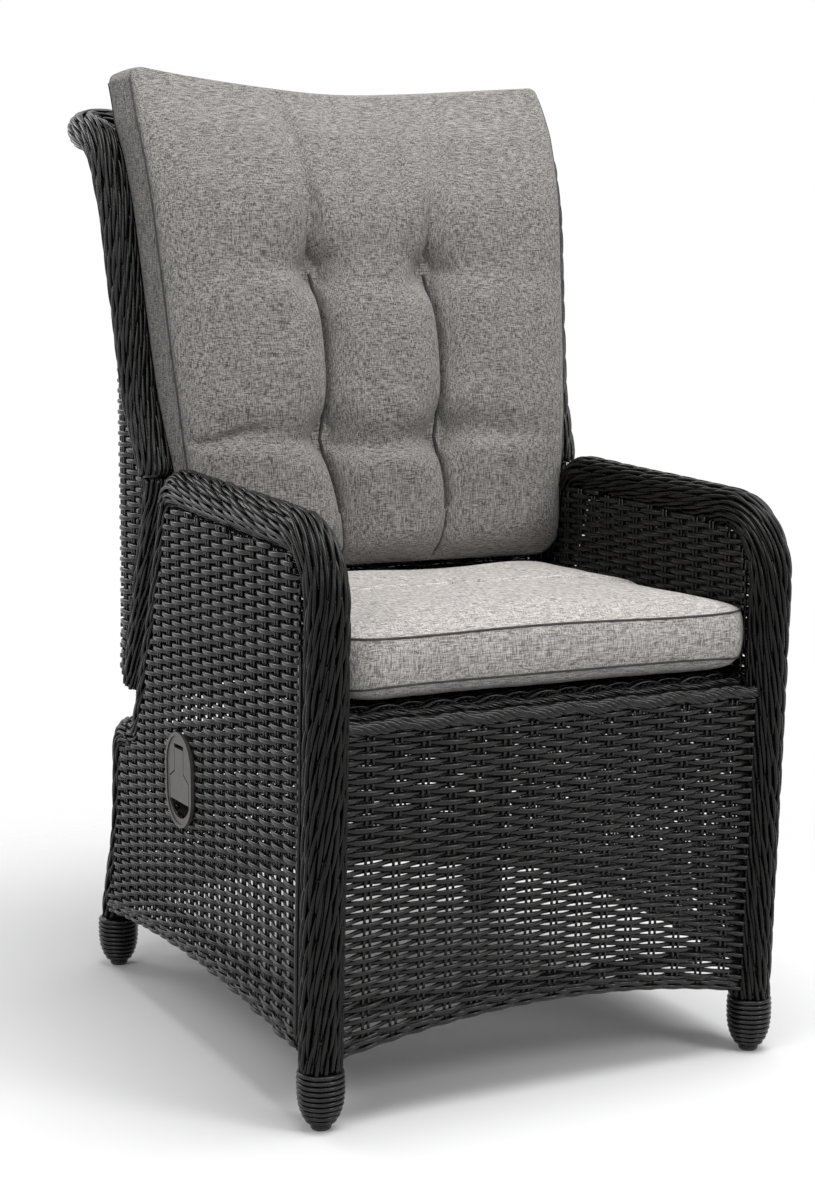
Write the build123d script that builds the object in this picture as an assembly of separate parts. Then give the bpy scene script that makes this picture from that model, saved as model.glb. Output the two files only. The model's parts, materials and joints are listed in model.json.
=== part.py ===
from build123d import *
import os
from math import atan2, cos, degrees, hypot, radians, sin, sqrt, tan

os.makedirs("parts", exist_ok=True)

# Every length is in millimetres. X is across the chair, +Y runs to the rear from the front feet,
# +Z is up. The whole chair is moved at the end so that the origin is under its middle.

# Clearances and cuts
gap = 0.3
bolt_clearance = 0.05
cut_overrun = 5.0

# Frame tubes
tube_r = 11.0
tube_wall = 1.5
rail_r = 10.0
low_rail_r = 8.0
rail_wall = 1.5

# Wicker wound over the tubes, and woven panels between them
leg_wrap_r = 25.0
post_wrap_r = 22.0
rear_wrap_r = 22.0
back_wrap_r = 24.0
back_low_wrap_r = 18.0
weave_thickness = 7.0
weave_recess = 3.0
rim_r = 7.0

# Side frame seen from the side: (y, z) of each corner of its centre line
side_x = 275.0
front_foot_y = 0.0
tube_foot_z = 24.0
foot_height = 63.0
leg_kink_z = 76.0
knee_y = -27.0
knee_z = 627.0
arm_end_y = 397.0
arm_end_z = 651.0
post_mid_y = 452.0
post_mid_z = 500.0
post_foot_y = 521.0
post_foot_z = 335.0
shoulder_y = 591.0
shoulder_z = 323.0
rear_mid_y = 600.0
rear_mid_z = 195.0
rear_foot_y = 648.0
rear_kink_z = 78.0
leg_bend_r = 300.0
knee_bend_r = 75.0
arm_bend_r = 38.0
post_bend_r = 400.0
post_foot_bend_r = 28.0
shoulder_bend_r = 26.0
rear_kink_r = 50.0

# Seat
seat_rail_z = 424.0
slat_thickness = 5.0
slat_width = 32.0
slat_count = 7
slat_first_y = 40.0
slat_last_y = 430.0
deck_front_y = 4.0
deck_rear_y = 455.0
rear_rail_drop = 6.0

# Skirt panels below the seat
hem_corner_z = 76.0
hem_middle_z = 103.0
side_hem_middle_z = 98.0
low_rail_z = 122.0
skirt_reach = 12.0
spring_rail_y = 207.0
spring_rail_r = 9.0

# Feet
foot_top_r = 26.0
foot_belly_r = 25.0
foot_tip_r = 13.0
foot_belly_z = 38.0
foot_tip_z = 9.0
glide_r = 11.0
glide_height = 8.0
glide_neck_r = 5.0
plug_length = 30.0
plug_flange = 3.0

# Backrest: x and y of each corner of its frame, left and right alike, and its rise from the last
back_foot_x = 281.0
back_foot_y = 545.0
back_foot_z = 390.0
back_elbow_x = 280.0
back_elbow_y = 452.0
back_elbow_rise = 270.0
back_waist_x = 288.0
back_waist_y = 492.0
back_waist_rise = 92.0
back_chest_x = 300.0
back_chest_y = 528.0
back_chest_rise = 228.0
back_neck_x = 306.0
back_neck_y = 558.0
back_neck_rise = 84.0
crest_x = 308.0
crest_y = 656.0
crest_rise = 24.0
elbow_bend_r = 60.0
waist_bend_r = 200.0
chest_bend_r = 200.0
neck_bend_r = 60.0
crest_bend_r = 42.0
back_rear_low_y = 566.0
back_rear_low_rise = 14.0
back_rear_mid_y = 553.0
back_rear_mid_rise = 156.0
back_rear_depth = 22.0
back_rear_top_rise = 5.0
back_scroll_depth = 28.0
back_scroll_drop = 18.0
back_rim_reach = 16.0
back_rim_drop = 28.0
back_skin_bend_r = 40.0
back_skin_gentle_r = 300.0
cheek_x = 290.0
cheek_thickness = 6.0
cheek_top_drop = 130.0
cheek_low_rise = 6.0
back_low_rail_rise = 24.0
back_rail_slack = 2.5
back_upper_rail_drop = 120.0

# Recline hinge and its release
pivot_y = 530.0
pivot_z = 370.0
recline_degrees = 35.0
hinge_plate_x = 236.0
hinge_plate_thickness = 5.0
hinge_plate_r = 15.0
hinge_eye_r = 14.0
hinge_bolt_r = 4.0
hinge_bush_r = 6.0
hinge_washer_r = 10.0
hinge_washer_thickness = 1.5
hinge_head_r = 7.0
hinge_head_height = 5.0
lever_drop = 90.0
lever_reach = 6.0
lever_plate_x = 12.0
lever_plate_thickness = 4.0
lever_plate_r = 13.0
lever_slot_slack = 0.9
lever_slot_travel = 4.8
spring_length = 330.0
spring_rise_degrees = 17.5
spring_body_r = 11.0
spring_body_length = 190.0
spring_wall = 1.6
spring_guide_length = 12.0
spring_eye_r = 9.0
spring_eye_width = 16.0
spring_pin_r = 4.0
spring_rod_r = 4.0
piston_length = 10.0
travel_rest_share = 0.1
head_length = 30.0
head_height = 20.0
head_width = 16.0
bracket_thickness = 3.0
bracket_x = 13.0
bracket_r = 11.0
release_arm_length = 26.0
release_arm_r = 5.0
release_arm_thickness = 3.0
release_pin_r = 2.5
release_pin_reach = 6.0

# Recessed pull handle in the left side
handle_y = 345.0
handle_z = 310.0
handle_width = 84.0
handle_height = 114.0
handle_flange = 3.0
handle_rim = 4.0
handle_rim_height = 1.4
handle_cup_margin = 5.0
handle_cup_depth = 24.0
handle_wall = 2.5
paddle_neck_width = 28.0
paddle_neck_top = 37.0
paddle_neck_foot = 8.0
paddle_blade_width = 60.0
paddle_blade_foot = -26.0
paddle_slack = 1.2
paddle_head_room = 5.0
paddle_thickness = 4.0
paddle_hinge_drop = 6.0
paddle_hinge_depth = 7.0
paddle_boss_r = 4.5
paddle_pin_r = 2.0
paddle_lug_width = 5.0
finger_opening_foot = 46.0

# Release cable
cable_r = 2.5
cable_clip_wall = 2.5
cable_clip_width = 10.0
cable_bend_share = 0.45

# Seat cushion
seat_pad_half_width = 243.0
seat_pad_front_y = -18.0
seat_pad_rear_y = 448.0
seat_pad_low_seam_z = 462.0
seat_pad_high_seam_z = 523.0
seat_pad_crown = 22.0
seat_pad_underside = 15.0
seat_pad_corner_r = 46.0
seat_pad_bulge = 5.0

# Back cushion
back_pad_low_z = 550.0
back_pad_high_z = 1152.0
back_pad_low_half_width = 240.0
back_pad_high_half_width = 280.0
back_pad_depth = 74.0
back_pad_taper = 12.0
back_pad_crown = 30.0
back_pad_tuft_x = 78.0
back_pad_tuft_depth = 26.0
back_pad_bulge = 5.0
back_pad_dip = 24.0

nodes = {}


def keep(name, *solids):
    """Store the solids of one named piece."""
    nodes[name] = list(solids)


def mirrored(shape):
    return mirror(shape, about=Plane.YZ)


def rod_x(radius, x_from, x_to, y, z):
    """Round bar along X."""
    length = x_to - x_from
    return Pos((x_from + x_to) / 2, y, z) * Rot(0, 90, 0) * Cylinder(radius, length)


def tube_x(radius, wall, x_from, x_to, y, z):
    """Round tube along X."""
    bore = rod_x(radius - wall, x_from - cut_overrun, x_to + cut_overrun, y, z)
    return rod_x(radius, x_from, x_to, y, z) - bore


def rod_y(radius, x, y_from, y_to, z):
    """Round bar along Y."""
    length = y_to - y_from
    return Pos(x, (y_from + y_to) / 2, z) * Rot(90, 0, 0) * Cylinder(radius, length)


def tube_y(radius, wall, x, y_from, y_to, z):
    """Round tube along Y."""
    bore = rod_y(radius - wall, x, y_from - cut_overrun, y_to + cut_overrun, z)
    return rod_y(radius, x, y_from, y_to, z) - bore


def pipe(path, outer, inner):
    """Round tube whose centre line is the given wire."""
    start = Plane(path @ 0, z_dir=path % 0)
    section = start * (Circle(outer) - Circle(inner))
    return sweep(section, path=path)


def bar(path, radius):
    """Solid round bar whose centre line is the given wire."""
    start = Plane(path @ 0, z_dir=path % 0)
    return sweep(start * Circle(radius), path=path)


def largest(shape):
    """The largest solid of a cut shape."""
    return max(shape.solids(), key=lambda solid: solid.volume)


def plate(outline, x_from, x_to):
    """A (y, z) outline made solid between two values of x."""
    return Plane.YZ.offset(x_from) * extrude(outline, x_to - x_from)


def link(y0, z0, r0, y1, z1, r1):
    """Outline of a flat link with two round ends, in (y, z)."""
    return make_hull((Pos(y0, z0) * Circle(r0) + Pos(y1, z1) * Circle(r1)).edges())


def line_y(z, low, high):
    """The y of a straight line through two (y, z) points, at height z."""
    share = (z - low[1]) / (high[1] - low[1])
    return low[0] + (high[0] - low[0]) * share


# Side frame

front_foot = (front_foot_y, leg_kink_z)
knee = (knee_y, knee_z)
arm_end = (arm_end_y, arm_end_z)
post_mid = (post_mid_y, post_mid_z)
post_foot = (post_foot_y, post_foot_z)
shoulder = (shoulder_y, shoulder_z)
rear_mid = (rear_mid_y, rear_mid_z)
rear_kink = (rear_foot_y, rear_kink_z)
side_corners = [front_foot, knee, arm_end, post_mid, post_foot, shoulder, rear_mid, rear_kink]
side_radii = [leg_bend_r, knee_bend_r, arm_bend_r, post_bend_r, post_foot_bend_r, shoulder_bend_r]
side_radii += [leg_bend_r, rear_kink_r]
side_frame_line = FilletPolyline(
    (front_foot_y, tube_foot_z), *side_corners, (rear_foot_y, tube_foot_z), radius=side_radii)


def side_edges(first, last):
    """Edges of the side frame's centre line, in order, as a wire in the left side plane."""
    flat = Wire(side_frame_line.edges()).order_edges()
    return Wire((Plane.YZ.offset(-side_x) * Curve(flat[first:last])).edges())


def leg_stub(y, towards):
    """Short straight run from the top of a foot to the given point of the centre line."""
    return Edge.make_line((-side_x, y, foot_height), towards)


def build_side_frames():
    frame = pipe(side_edges(0, None), tube_r, tube_r - tube_wall)
    keep("side_frame_left", frame)
    keep("side_frame_right", mirrored(frame))


def rail_holes():
    """Solids of all rails that meet a side frame, grown by the clearance to the wicker."""
    reach = side_x + cut_overrun
    seat_r = rail_r + gap
    low_r = low_rail_r + gap
    seat_ends = (leg_y(seat_rail_z) - cut_overrun, post_y(seat_rail_z) + cut_overrun)
    low_ends = (leg_y(low_rail_z) - cut_overrun, rear_leg_y(low_rail_z) + cut_overrun)
    return [
        rod_x(seat_r, -reach, reach, seat_front_rail_y, seat_rail_z),
        rod_x(seat_r, -reach, reach, seat_rear_rail_y, seat_rear_rail_z),
        rod_x(low_r, -reach, reach, low_front_rail_y, low_rail_z),
        rod_x(low_r, -reach, reach, low_rear_rail_y, low_rail_z),
        rod_x(low_r, -reach, reach, high_rear_rail_y, high_rear_rail_z),
        rod_y(seat_r, -side_x, *seat_ends, seat_rail_z),
        rod_y(low_r, -side_x, *low_ends, low_rail_z),
    ]


def leg_y(z):
    return line_y(z, front_foot, knee)


def post_y(z):
    return line_y(z, post_foot, post_mid)


def rear_leg_y(z):
    if z > rear_mid_z:
        return line_y(z, rear_mid, shoulder)
    return line_y(z, rear_kink, rear_mid)


panel_x = side_x + leg_wrap_r - weave_recess
panel_inner_x = panel_x - weave_thickness
skin_offset = sqrt(leg_wrap_r**2 - (side_x - panel_inner_x)**2)
seat_front_rail_y = leg_y(seat_rail_z) + rail_r
seat_rear_rail_z = seat_rail_z - rear_rail_drop
seat_rear_rail_y = post_y(seat_rear_rail_z)
low_front_rail_y = leg_y(low_rail_z) + low_rail_r / 2
low_rear_rail_y = rear_leg_y(low_rail_z) - low_rail_r / 2
rear_panel_top_z = shoulder_z - shoulder_bend_r / 2
high_rear_rail_z = rear_panel_top_z - low_rail_r * 2
high_rear_rail_y = rear_leg_y(high_rear_rail_z) - low_rail_r / 2


def build_wraps():
    """Wicker wound round the legs, arms and posts of the side frames."""
    flat = Wire(side_frame_line.edges()).order_edges()
    placed = [Plane.YZ.offset(-side_x) * edge for edge in flat]
    front_start = leg_stub(front_foot_y, placed[0] @ 1)
    rear_end = Edge.make_line(placed[-1] @ 0, (-side_x, rear_foot_y, foot_height))
    cutters = rail_holes()
    runs = {
        "arm_braid": ([front_start] + placed[1:6], leg_wrap_r),
        "post_wrap": (placed[6:9], post_wrap_r),
        "rear_leg_wrap": (placed[9:-1] + [rear_end], rear_wrap_r),
    }
    for name, (edges, outer) in runs.items():
        wrap = pipe(Wire(edges), outer, tube_r + gap)
        for cutter in cutters:
            wrap = wrap - cutter
        keep(name + "_left", wrap)
        keep(name + "_right", mirrored(wrap))


# Rails of the base

def build_rails():
    reach = side_x - tube_r - gap
    keep("seat_front_rail", tube_x(rail_r, rail_wall, -reach, reach, seat_front_rail_y, seat_rail_z))
    keep("seat_rear_rail",
         tube_x(rail_r, rail_wall, -reach, reach, seat_rear_rail_y, seat_rear_rail_z))
    keep("low_front_rail", tube_x(low_rail_r, rail_wall, -reach, reach, low_front_rail_y, low_rail_z))
    rear_low = tube_x(low_rail_r, rail_wall, -reach, reach, low_rear_rail_y, low_rail_z)
    rear_high = tube_x(low_rail_r, rail_wall, -reach, reach, high_rear_rail_y, high_rear_rail_z)
    keep("rear_rails", rear_low, rear_high)
    frame = bar(side_edges(0, None), tube_r + gap)
    seat_side = tube_y(rail_r, rail_wall, -side_x, leg_y(seat_rail_z), post_y(seat_rail_z), seat_rail_z)
    seat_side = seat_side - frame
    keep("seat_side_rails", seat_side, mirrored(seat_side))
    low_side = tube_y(low_rail_r, rail_wall, -side_x, leg_y(low_rail_z), rear_leg_y(low_rail_z), low_rail_z)
    low_side = low_side - frame
    keep("low_side_rails", low_side, mirrored(low_side))
    spring_z = seat_rail_z - rail_r - spring_rail_r
    spring_reach = side_x + rail_r
    keep("spring_rail", tube_x(spring_rail_r, rail_wall, -spring_reach, spring_reach,
                               spring_rail_y, spring_z - gap))


def build_seat():
    slat_z = seat_rail_z + rail_r + gap
    step = (slat_last_y - slat_first_y) / (slat_count - 1)
    slats = []
    for index in range(slat_count):
        centre_y = slat_first_y + index * step
        bar = Box(side_x * 2, slat_width, slat_thickness)
        slats.append(Pos(0, centre_y, slat_z + slat_thickness / 2) * bar)
    keep("seat_slats", *slats)
    deck_z = slat_z + slat_thickness + gap
    half = inner_panel_x - gap
    deck = Box(half * 2, deck_rear_y - deck_front_y, weave_thickness)
    keep("seat_deck", Pos(0, (deck_front_y + deck_rear_y) / 2, deck_z + weave_thickness / 2) * deck)


inner_panel_x = side_x - leg_wrap_r + rail_wall
deck_top_z = seat_rail_z + rail_r + gap + slat_thickness + gap + weave_thickness


# Woven panels of the base

def side_outline(hem_front_z, hem_rear_z, hem_mid_z, inset):
    """Outline of a side panel, inside the side frame's centre line by the inset."""
    low_front = (leg_y(hem_front_z - inset), hem_front_z - inset)
    low_rear = (rear_leg_y(hem_rear_z - inset), hem_rear_z - inset)
    corners = [low_front, knee, arm_end, post_mid, post_foot, shoulder, rear_mid, low_rear]
    radii = [knee_bend_r, arm_bend_r, post_bend_r, post_foot_bend_r, shoulder_bend_r, leg_bend_r]
    top = FilletPolyline(*corners, radius=radii)
    middle = ((low_front[0] + low_rear[0]) / 2, hem_mid_z - inset)
    hem = ThreePointArc(low_rear, middle, low_front)
    return offset(make_face(top.edges() + hem.edges()), amount=-inset)


def build_side_panels():
    outline = side_outline(hem_corner_z, hem_corner_z, side_hem_middle_z, skin_offset + gap)
    panel = plate(outline, -panel_x, -panel_inner_x)
    keep("side_panel_right", mirrored(panel))
    hole = Pos(handle_y, handle_z) * stadium(handle_width - handle_cup_margin, cup_height)
    cut = plate(hole, -panel_x - cut_overrun, -panel_inner_x + cut_overrun)
    keep("side_panel_left", panel - cut)


def build_inner_arms():
    """Inner skin of each arm, from the seat up to the arm braid."""
    half = side_x - inner_panel_x - weave_thickness
    inset = sqrt(leg_wrap_r**2 - half**2) + gap
    low_z = deck_top_z - weave_thickness - inset
    low_front = (leg_y(low_z), low_z)
    low_rear = (post_y(low_z), low_z)
    corners = [low_front, knee, arm_end, post_mid, low_rear]
    top = FilletPolyline(*corners, radius=[knee_bend_r, arm_bend_r, post_bend_r])
    hem = Line(low_rear, low_front)
    outline = offset(make_face(top.edges() + hem.edges()), amount=-inset)
    panel = plate(outline, -inner_panel_x - weave_thickness, -inner_panel_x)
    keep("arm_inner_left", panel)
    keep("arm_inner_right", mirrored(panel))


def leg_plane(shift):
    """Plane parallel to the front legs' lean, shifted to the front; its y runs up the leg."""
    lean = atan2(knee_y - front_foot_y, knee_z - leg_kink_z)
    normal = (0, -cos(lean), sin(lean))
    origin = (0, front_foot_y + normal[1] * shift, leg_kink_z + normal[2] * shift)
    return Plane(origin=origin, x_dir=(1, 0, 0), z_dir=normal)


def build_front_panel():
    inner = skirt_reach - weave_thickness
    half = side_x - leg_wrap_r - gap
    top = seat_rail_z - leg_kink_z
    corner = hem_corner_z - leg_kink_z
    middle = hem_middle_z - leg_kink_z
    sides = Polyline((-half, corner), (-half, top), (half, top), (half, corner))
    hem = ThreePointArc((half, corner), (0, middle), (-half, corner))
    panel = leg_plane(inner) * extrude(make_face(sides.edges() + hem.edges()), weave_thickness)
    keep("front_panel", panel)
    rim_centre = leg_plane(inner + weave_thickness / 2) * Pos(0, top + rim_r + gap)
    centre = rim_centre.position
    keep("front_rim", rod_x(rim_r, -half, half, centre.Y, centre.Z))


def build_rear_panel():
    """Woven panel between the rear legs, following their bend."""
    near = skirt_reach - weave_thickness
    half = side_x - rear_wrap_r - gap
    top_z = rear_panel_top_z
    low_z = hem_corner_z
    ends = [(rear_leg_y(low_z), low_z), rear_mid, (rear_leg_y(top_z), top_z)]
    outer = [(y + near + weave_thickness, z) for y, z in reversed(ends)]
    inner = [(y + near, z) for y, z in ends]
    profile = make_face(Polyline(*inner, *outer, close=True).edges())
    panel = plate(profile, -half, half)
    arch = ThreePointArc((-half, low_z), (0, hem_middle_z), (half, low_z))
    floor = Line((half, low_z), (-half, low_z))
    depth = rear_foot_y + skirt_reach + cut_overrun
    arch_cut = Plane.XZ * extrude(make_face(arch.edges() + floor.edges()), -depth)
    keep("rear_panel", panel - arch_cut)
    rim_y = rear_leg_y(top_z) + near + weave_thickness / 2
    keep("rear_rim", rod_x(rim_r, -half, half, rim_y, top_z + rim_r + gap))


# Feet

def build_feet():
    places = [(side, y) for y in (front_foot_y, rear_foot_y) for side in (-side_x, side_x)]
    flange_z = tube_foot_z - plug_flange
    edge = [
        (tube_r + gap, flange_z - gap), (tube_r + gap, foot_height - gap),
        (foot_top_r, foot_height - gap), (foot_belly_r, foot_belly_z),
    ]
    outline = Polyline(*edge)
    tip_mid = ((foot_belly_r + foot_tip_r) / 2 + plug_flange, (foot_belly_z + foot_tip_z) / 2)
    curve = ThreePointArc(edge[-1], tip_mid, (foot_tip_r, foot_tip_z))
    under = Polyline((foot_tip_r, foot_tip_z), (glide_neck_r + gap, foot_tip_z),
                     (glide_neck_r + gap, flange_z - gap), edge[0])
    wrap = revolve(Plane.XZ * make_face(outline.edges() + curve.edges() + under.edges()), Axis.Z)
    stem = Cylinder(glide_neck_r, flange_z - glide_height, align=(Align.CENTER, Align.CENTER, Align.MIN))
    pad = Cylinder(glide_r, glide_height, align=(Align.CENTER, Align.CENTER, Align.MIN))
    pad = fillet(pad.edges().sort_by(Axis.Z)[0], glide_height / 4)
    glide = pad + Pos(0, 0, glide_height) * stem
    flange = Cylinder(tube_r, plug_flange, align=(Align.CENTER, Align.CENTER, Align.MIN))
    body = Cylinder(tube_r - tube_wall - gap, plug_length, align=(Align.CENTER, Align.CENTER, Align.MIN))
    plug = Pos(0, 0, flange_z) * flange + Pos(0, 0, tube_foot_z) * body
    keep("foot_wraps", *[Pos(x, y, 0) * wrap for x, y in places])
    keep("foot_glides", *[Pos(x, y, 0) * glide for x, y in places])
    keep("foot_plugs", *[Pos(x, y, 0) * plug for x, y in places])


# Backrest

back_elbow_z = back_foot_z + back_elbow_rise
back_waist_z = back_elbow_z + back_waist_rise
back_chest_z = back_waist_z + back_chest_rise
back_neck_z = back_chest_z + back_neck_rise
crest_z = back_neck_z + crest_rise
back_low_rail_z = back_foot_z + back_low_rail_rise
back_upper_rail_z = back_chest_z - back_upper_rail_drop
cheek_low_z = back_foot_z + cheek_low_rise
cheek_top_z = back_chest_z - cheek_top_drop
back_rear_low = (back_rear_low_y, back_foot_z + back_rear_low_rise)
back_rear_mid = (back_rear_mid_y, back_rear_low[1] + back_rear_mid_rise)
back_rear_top = (back_chest_y + back_rear_depth, back_chest_z + back_rear_top_rise)
back_scroll = (back_neck_y + back_scroll_depth, back_neck_z - back_scroll_drop)
back_rim = (crest_y - back_rim_reach, crest_z - back_rim_drop)
back_half = [
    (back_foot_x, back_foot_y, back_foot_z),
    (back_elbow_x, back_elbow_y, back_elbow_z),
    (back_waist_x, back_waist_y, back_waist_z),
    (back_chest_x, back_chest_y, back_chest_z),
    (back_neck_x, back_neck_y, back_neck_z),
    (crest_x, crest_y, crest_z),
]
back_half_radii = [elbow_bend_r, waist_bend_r, chest_bend_r, neck_bend_r, crest_bend_r]


def back_edges():
    left = [(-x, y, z) for x, y, z in back_half]
    radii = back_half_radii + back_half_radii[::-1]
    line = FilletPolyline(*left, *back_half[::-1], radius=radii)
    return Wire(line.edges()).order_edges()


def back_paths():
    """Centre lines of the braided upper loop and of the plain lower leg on the left."""
    edges = back_edges()
    return Wire(edges[2:-2]), Wire(edges[0:2])


def build_back_frame():
    keep("back_frame", pipe(Wire(back_edges()), tube_r, tube_r - tube_wall))
    upper_path, lower_path = back_paths()
    low_hole = rod_x(rail_r + gap, -back_foot_x, back_foot_x, back_low_rail_y, back_low_rail_z)
    low = pipe(lower_path, back_low_wrap_r, tube_r + gap) - low_hole
    keep("back_low_wrap_left", low)
    keep("back_low_wrap_right", mirrored(low))
    low_reach = back_foot_x - tube_r - gap
    keep("back_low_rail", tube_x(rail_r, rail_wall, -low_reach, low_reach,
                                 back_low_rail_y, back_low_rail_z))
    braid = pipe(upper_path, back_wrap_r, tube_r + gap)
    rails = []
    behind = weave_thickness / 2 + rail_r + back_rail_slack
    for z in (back_waist_z, back_upper_rail_z):
        share = (z - back_waist_z) / (back_chest_z - back_waist_z)
        reach = back_waist_x + (back_chest_x - back_waist_x) * share - tube_r - gap
        y = line_y(z, (back_waist_y, back_waist_z), (back_chest_y, back_chest_z))
        rails.append(tube_x(rail_r, rail_wall, -reach, reach, y + behind, z))
        braid = braid - rod_x(rail_r + gap, -reach - gap, reach + gap, y + behind, z)
    keep("back_high_rails", *rails)
    keep("back_braid", braid)


def back_line_y(z):
    """The y of the backrest frame's lower leg at height z."""
    return line_y(z, (back_foot_y, back_foot_z), (back_elbow_y, back_elbow_z))


back_low_rail_y = back_line_y(back_low_rail_z)


def skin_face(line, thickness):
    """A woven skin seen edge on: a band along a bent (y, z) line."""
    return make_face(offset(line, amount=thickness / 2, side=Side.BOTH, kind=Kind.ARC).edges())


def back_prism():
    """Space between the centre lines of the two sides of the backrest frame."""
    corners = [(x, z) for x, y, z in back_half]
    corners = [(back_foot_x, back_foot_z - rail_r)] + corners + [(crest_x, crest_z + back_wrap_r)]
    left = [(-x, z) for x, z in reversed(corners)]
    outline = make_face(Polyline(*corners, *left, close=True).edges())
    return Plane.XZ * extrude(outline, -(crest_y + back_wrap_r))


def back_front_line():
    """The front skin's middle, from the seat to the crest, in (y, z)."""
    low_z = back_low_rail_z + hinge_plate_r + weave_thickness
    points = [(back_line_y(low_z), low_z)] + [(y, z) for x, y, z in back_half[1:5]]
    points.append((crest_y - back_wrap_r - gap, crest_z))
    return FilletPolyline(*points, radius=[elbow_bend_r, waist_bend_r, chest_bend_r, neck_bend_r])


def build_back_skins():
    upper_path, lower_path = back_paths()
    braid = bar(upper_path, back_wrap_r + gap)
    low_wrap = bar(lower_path, back_low_wrap_r + gap)
    front = plate(skin_face(back_front_line(), weave_thickness), -crest_x, crest_x) & back_prism()
    front = front - braid - low_wrap - mirrored(low_wrap)
    keep("back_front_skin", largest(front))
    rear_points = [back_rear_low, back_rear_mid, back_rear_top, back_scroll, back_rim]
    rear_radii = [back_skin_gentle_r, back_skin_bend_r, back_skin_bend_r]
    rear_line = FilletPolyline(*rear_points, radius=rear_radii)
    wide = cheek_x + cheek_thickness
    rear = plate(skin_face(rear_line, weave_thickness), -wide, wide) - braid
    keep("back_rear_skin", largest(rear))
    half = back_foot_x - back_low_wrap_r - gap
    rim_z = back_rear_low[1] - weave_thickness / 2 - rim_r - gap
    keep("back_low_rim", rod_x(rim_r, -half, half, back_rear_low_y, rim_z))


def build_cheeks():
    """Woven side of the backrest's housing, behind its frame tube."""
    upper_path, lower_path = back_paths()
    rear_inset = weave_thickness / 2 + gap
    waist = (back_waist_y, back_waist_z)
    chest = (back_chest_y, back_chest_z)
    corners = [
        (back_line_y(cheek_low_z), cheek_low_z), (back_elbow_y, back_elbow_z), waist,
        (line_y(cheek_top_z, waist, chest), cheek_top_z),
        (back_rear_top[0] - rear_inset, cheek_top_z),
        (back_rear_mid[0] - rear_inset, back_rear_mid[1]),
        (back_rear_low[0] - rear_inset, cheek_low_z),
    ]
    outline = make_face(Polyline(*corners, close=True).edges())
    panel = plate(outline, -cheek_x - cheek_thickness, -cheek_x)
    panel = panel - bar(upper_path, back_wrap_r + gap) - bar(lower_path, back_low_wrap_r + gap)
    panel = largest(panel)
    keep("back_cheek_left", panel)
    keep("back_cheek_right", mirrored(panel))


# Recline hinge

def build_hinges():
    outer = hinge_plate_x + hinge_plate_thickness
    hanger = link(seat_rear_rail_y, seat_rear_rail_z, hinge_plate_r, pivot_y, pivot_z, hinge_eye_r)
    hanger = hanger - Pos(seat_rear_rail_y, seat_rear_rail_z) * Circle(rail_r + gap)
    hanger = hanger - Pos(pivot_y, pivot_z) * Circle(hinge_bolt_r + bolt_clearance)
    base_plate = plate(hanger, -outer, -hinge_plate_x)
    keep("hinge_plates", base_plate, mirrored(base_plate))

    washer_x = hinge_plate_x - gap
    back_x = washer_x - hinge_washer_thickness - gap
    swing = link(back_low_rail_y, back_low_rail_z, hinge_plate_r, pivot_y, pivot_z, hinge_eye_r)
    swing = swing - Pos(back_low_rail_y, back_low_rail_z) * Circle(rail_r + gap)
    swing = swing - Pos(pivot_y, pivot_z) * Circle(hinge_bush_r)
    back_plate = plate(swing, -back_x, -back_x + hinge_plate_thickness)
    keep("back_hinge_plates", back_plate, mirrored(back_plate))

    ring = Circle(hinge_bush_r) - Circle(hinge_bolt_r + bolt_clearance)
    bush = plate(Pos(pivot_y, pivot_z) * ring, -back_x, -back_x + hinge_plate_thickness)
    keep("hinge_bushes", bush, mirrored(bush))

    disc = Circle(hinge_washer_r) - Circle(hinge_bolt_r + bolt_clearance)
    washer = plate(Pos(pivot_y, pivot_z) * disc, -washer_x, -washer_x + hinge_washer_thickness)
    keep("hinge_washers", washer, mirrored(washer))

    nut_x = back_x - hinge_plate_thickness - gap
    tip_x = nut_x - hinge_head_height
    shank = rod_x(hinge_bolt_r, -outer, -tip_x, pivot_y, pivot_z)
    head = rod_x(hinge_head_r, -outer - hinge_head_height, -outer, pivot_y, pivot_z)
    bolt = shank + head
    keep("hinge_bolts", bolt, mirrored(bolt))
    hexagon = RegularPolygon(hinge_head_r, 6) - Circle(hinge_bolt_r + bolt_clearance)
    nut = plate(Pos(pivot_y, pivot_z) * hexagon, -nut_x, -tip_x)
    keep("hinge_nuts", nut, mirrored(nut))


# Gas spring, from the lever on the backrest to the bracket under the seat

rest_pin_y = pivot_y + lever_reach
rest_pin_z = pivot_z - lever_drop
spring_angle = radians(spring_rise_degrees)
bracket_pin_y = rest_pin_y - spring_length * cos(spring_angle)
bracket_pin_z = rest_pin_z + spring_length * sin(spring_angle)


def on_spring(distance, lift=0.0):
    """(y, z) at a distance from the lever pin along the spring, and a lift square to it."""
    y = rest_pin_y - distance * cos(spring_angle) + lift * sin(spring_angle)
    z = rest_pin_z + distance * sin(spring_angle) + lift * cos(spring_angle)
    return y, z


def spring_plane(distance):
    """Plane square to the spring, facing its bracket end."""
    y, z = on_spring(distance)
    return Plane(origin=(0, y, z), x_dir=(1, 0, 0), z_dir=(0, -cos(spring_angle), sin(spring_angle)))


def along_spring(shape, start, stop):
    return spring_plane(start) * extrude(shape, stop - start)


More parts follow.
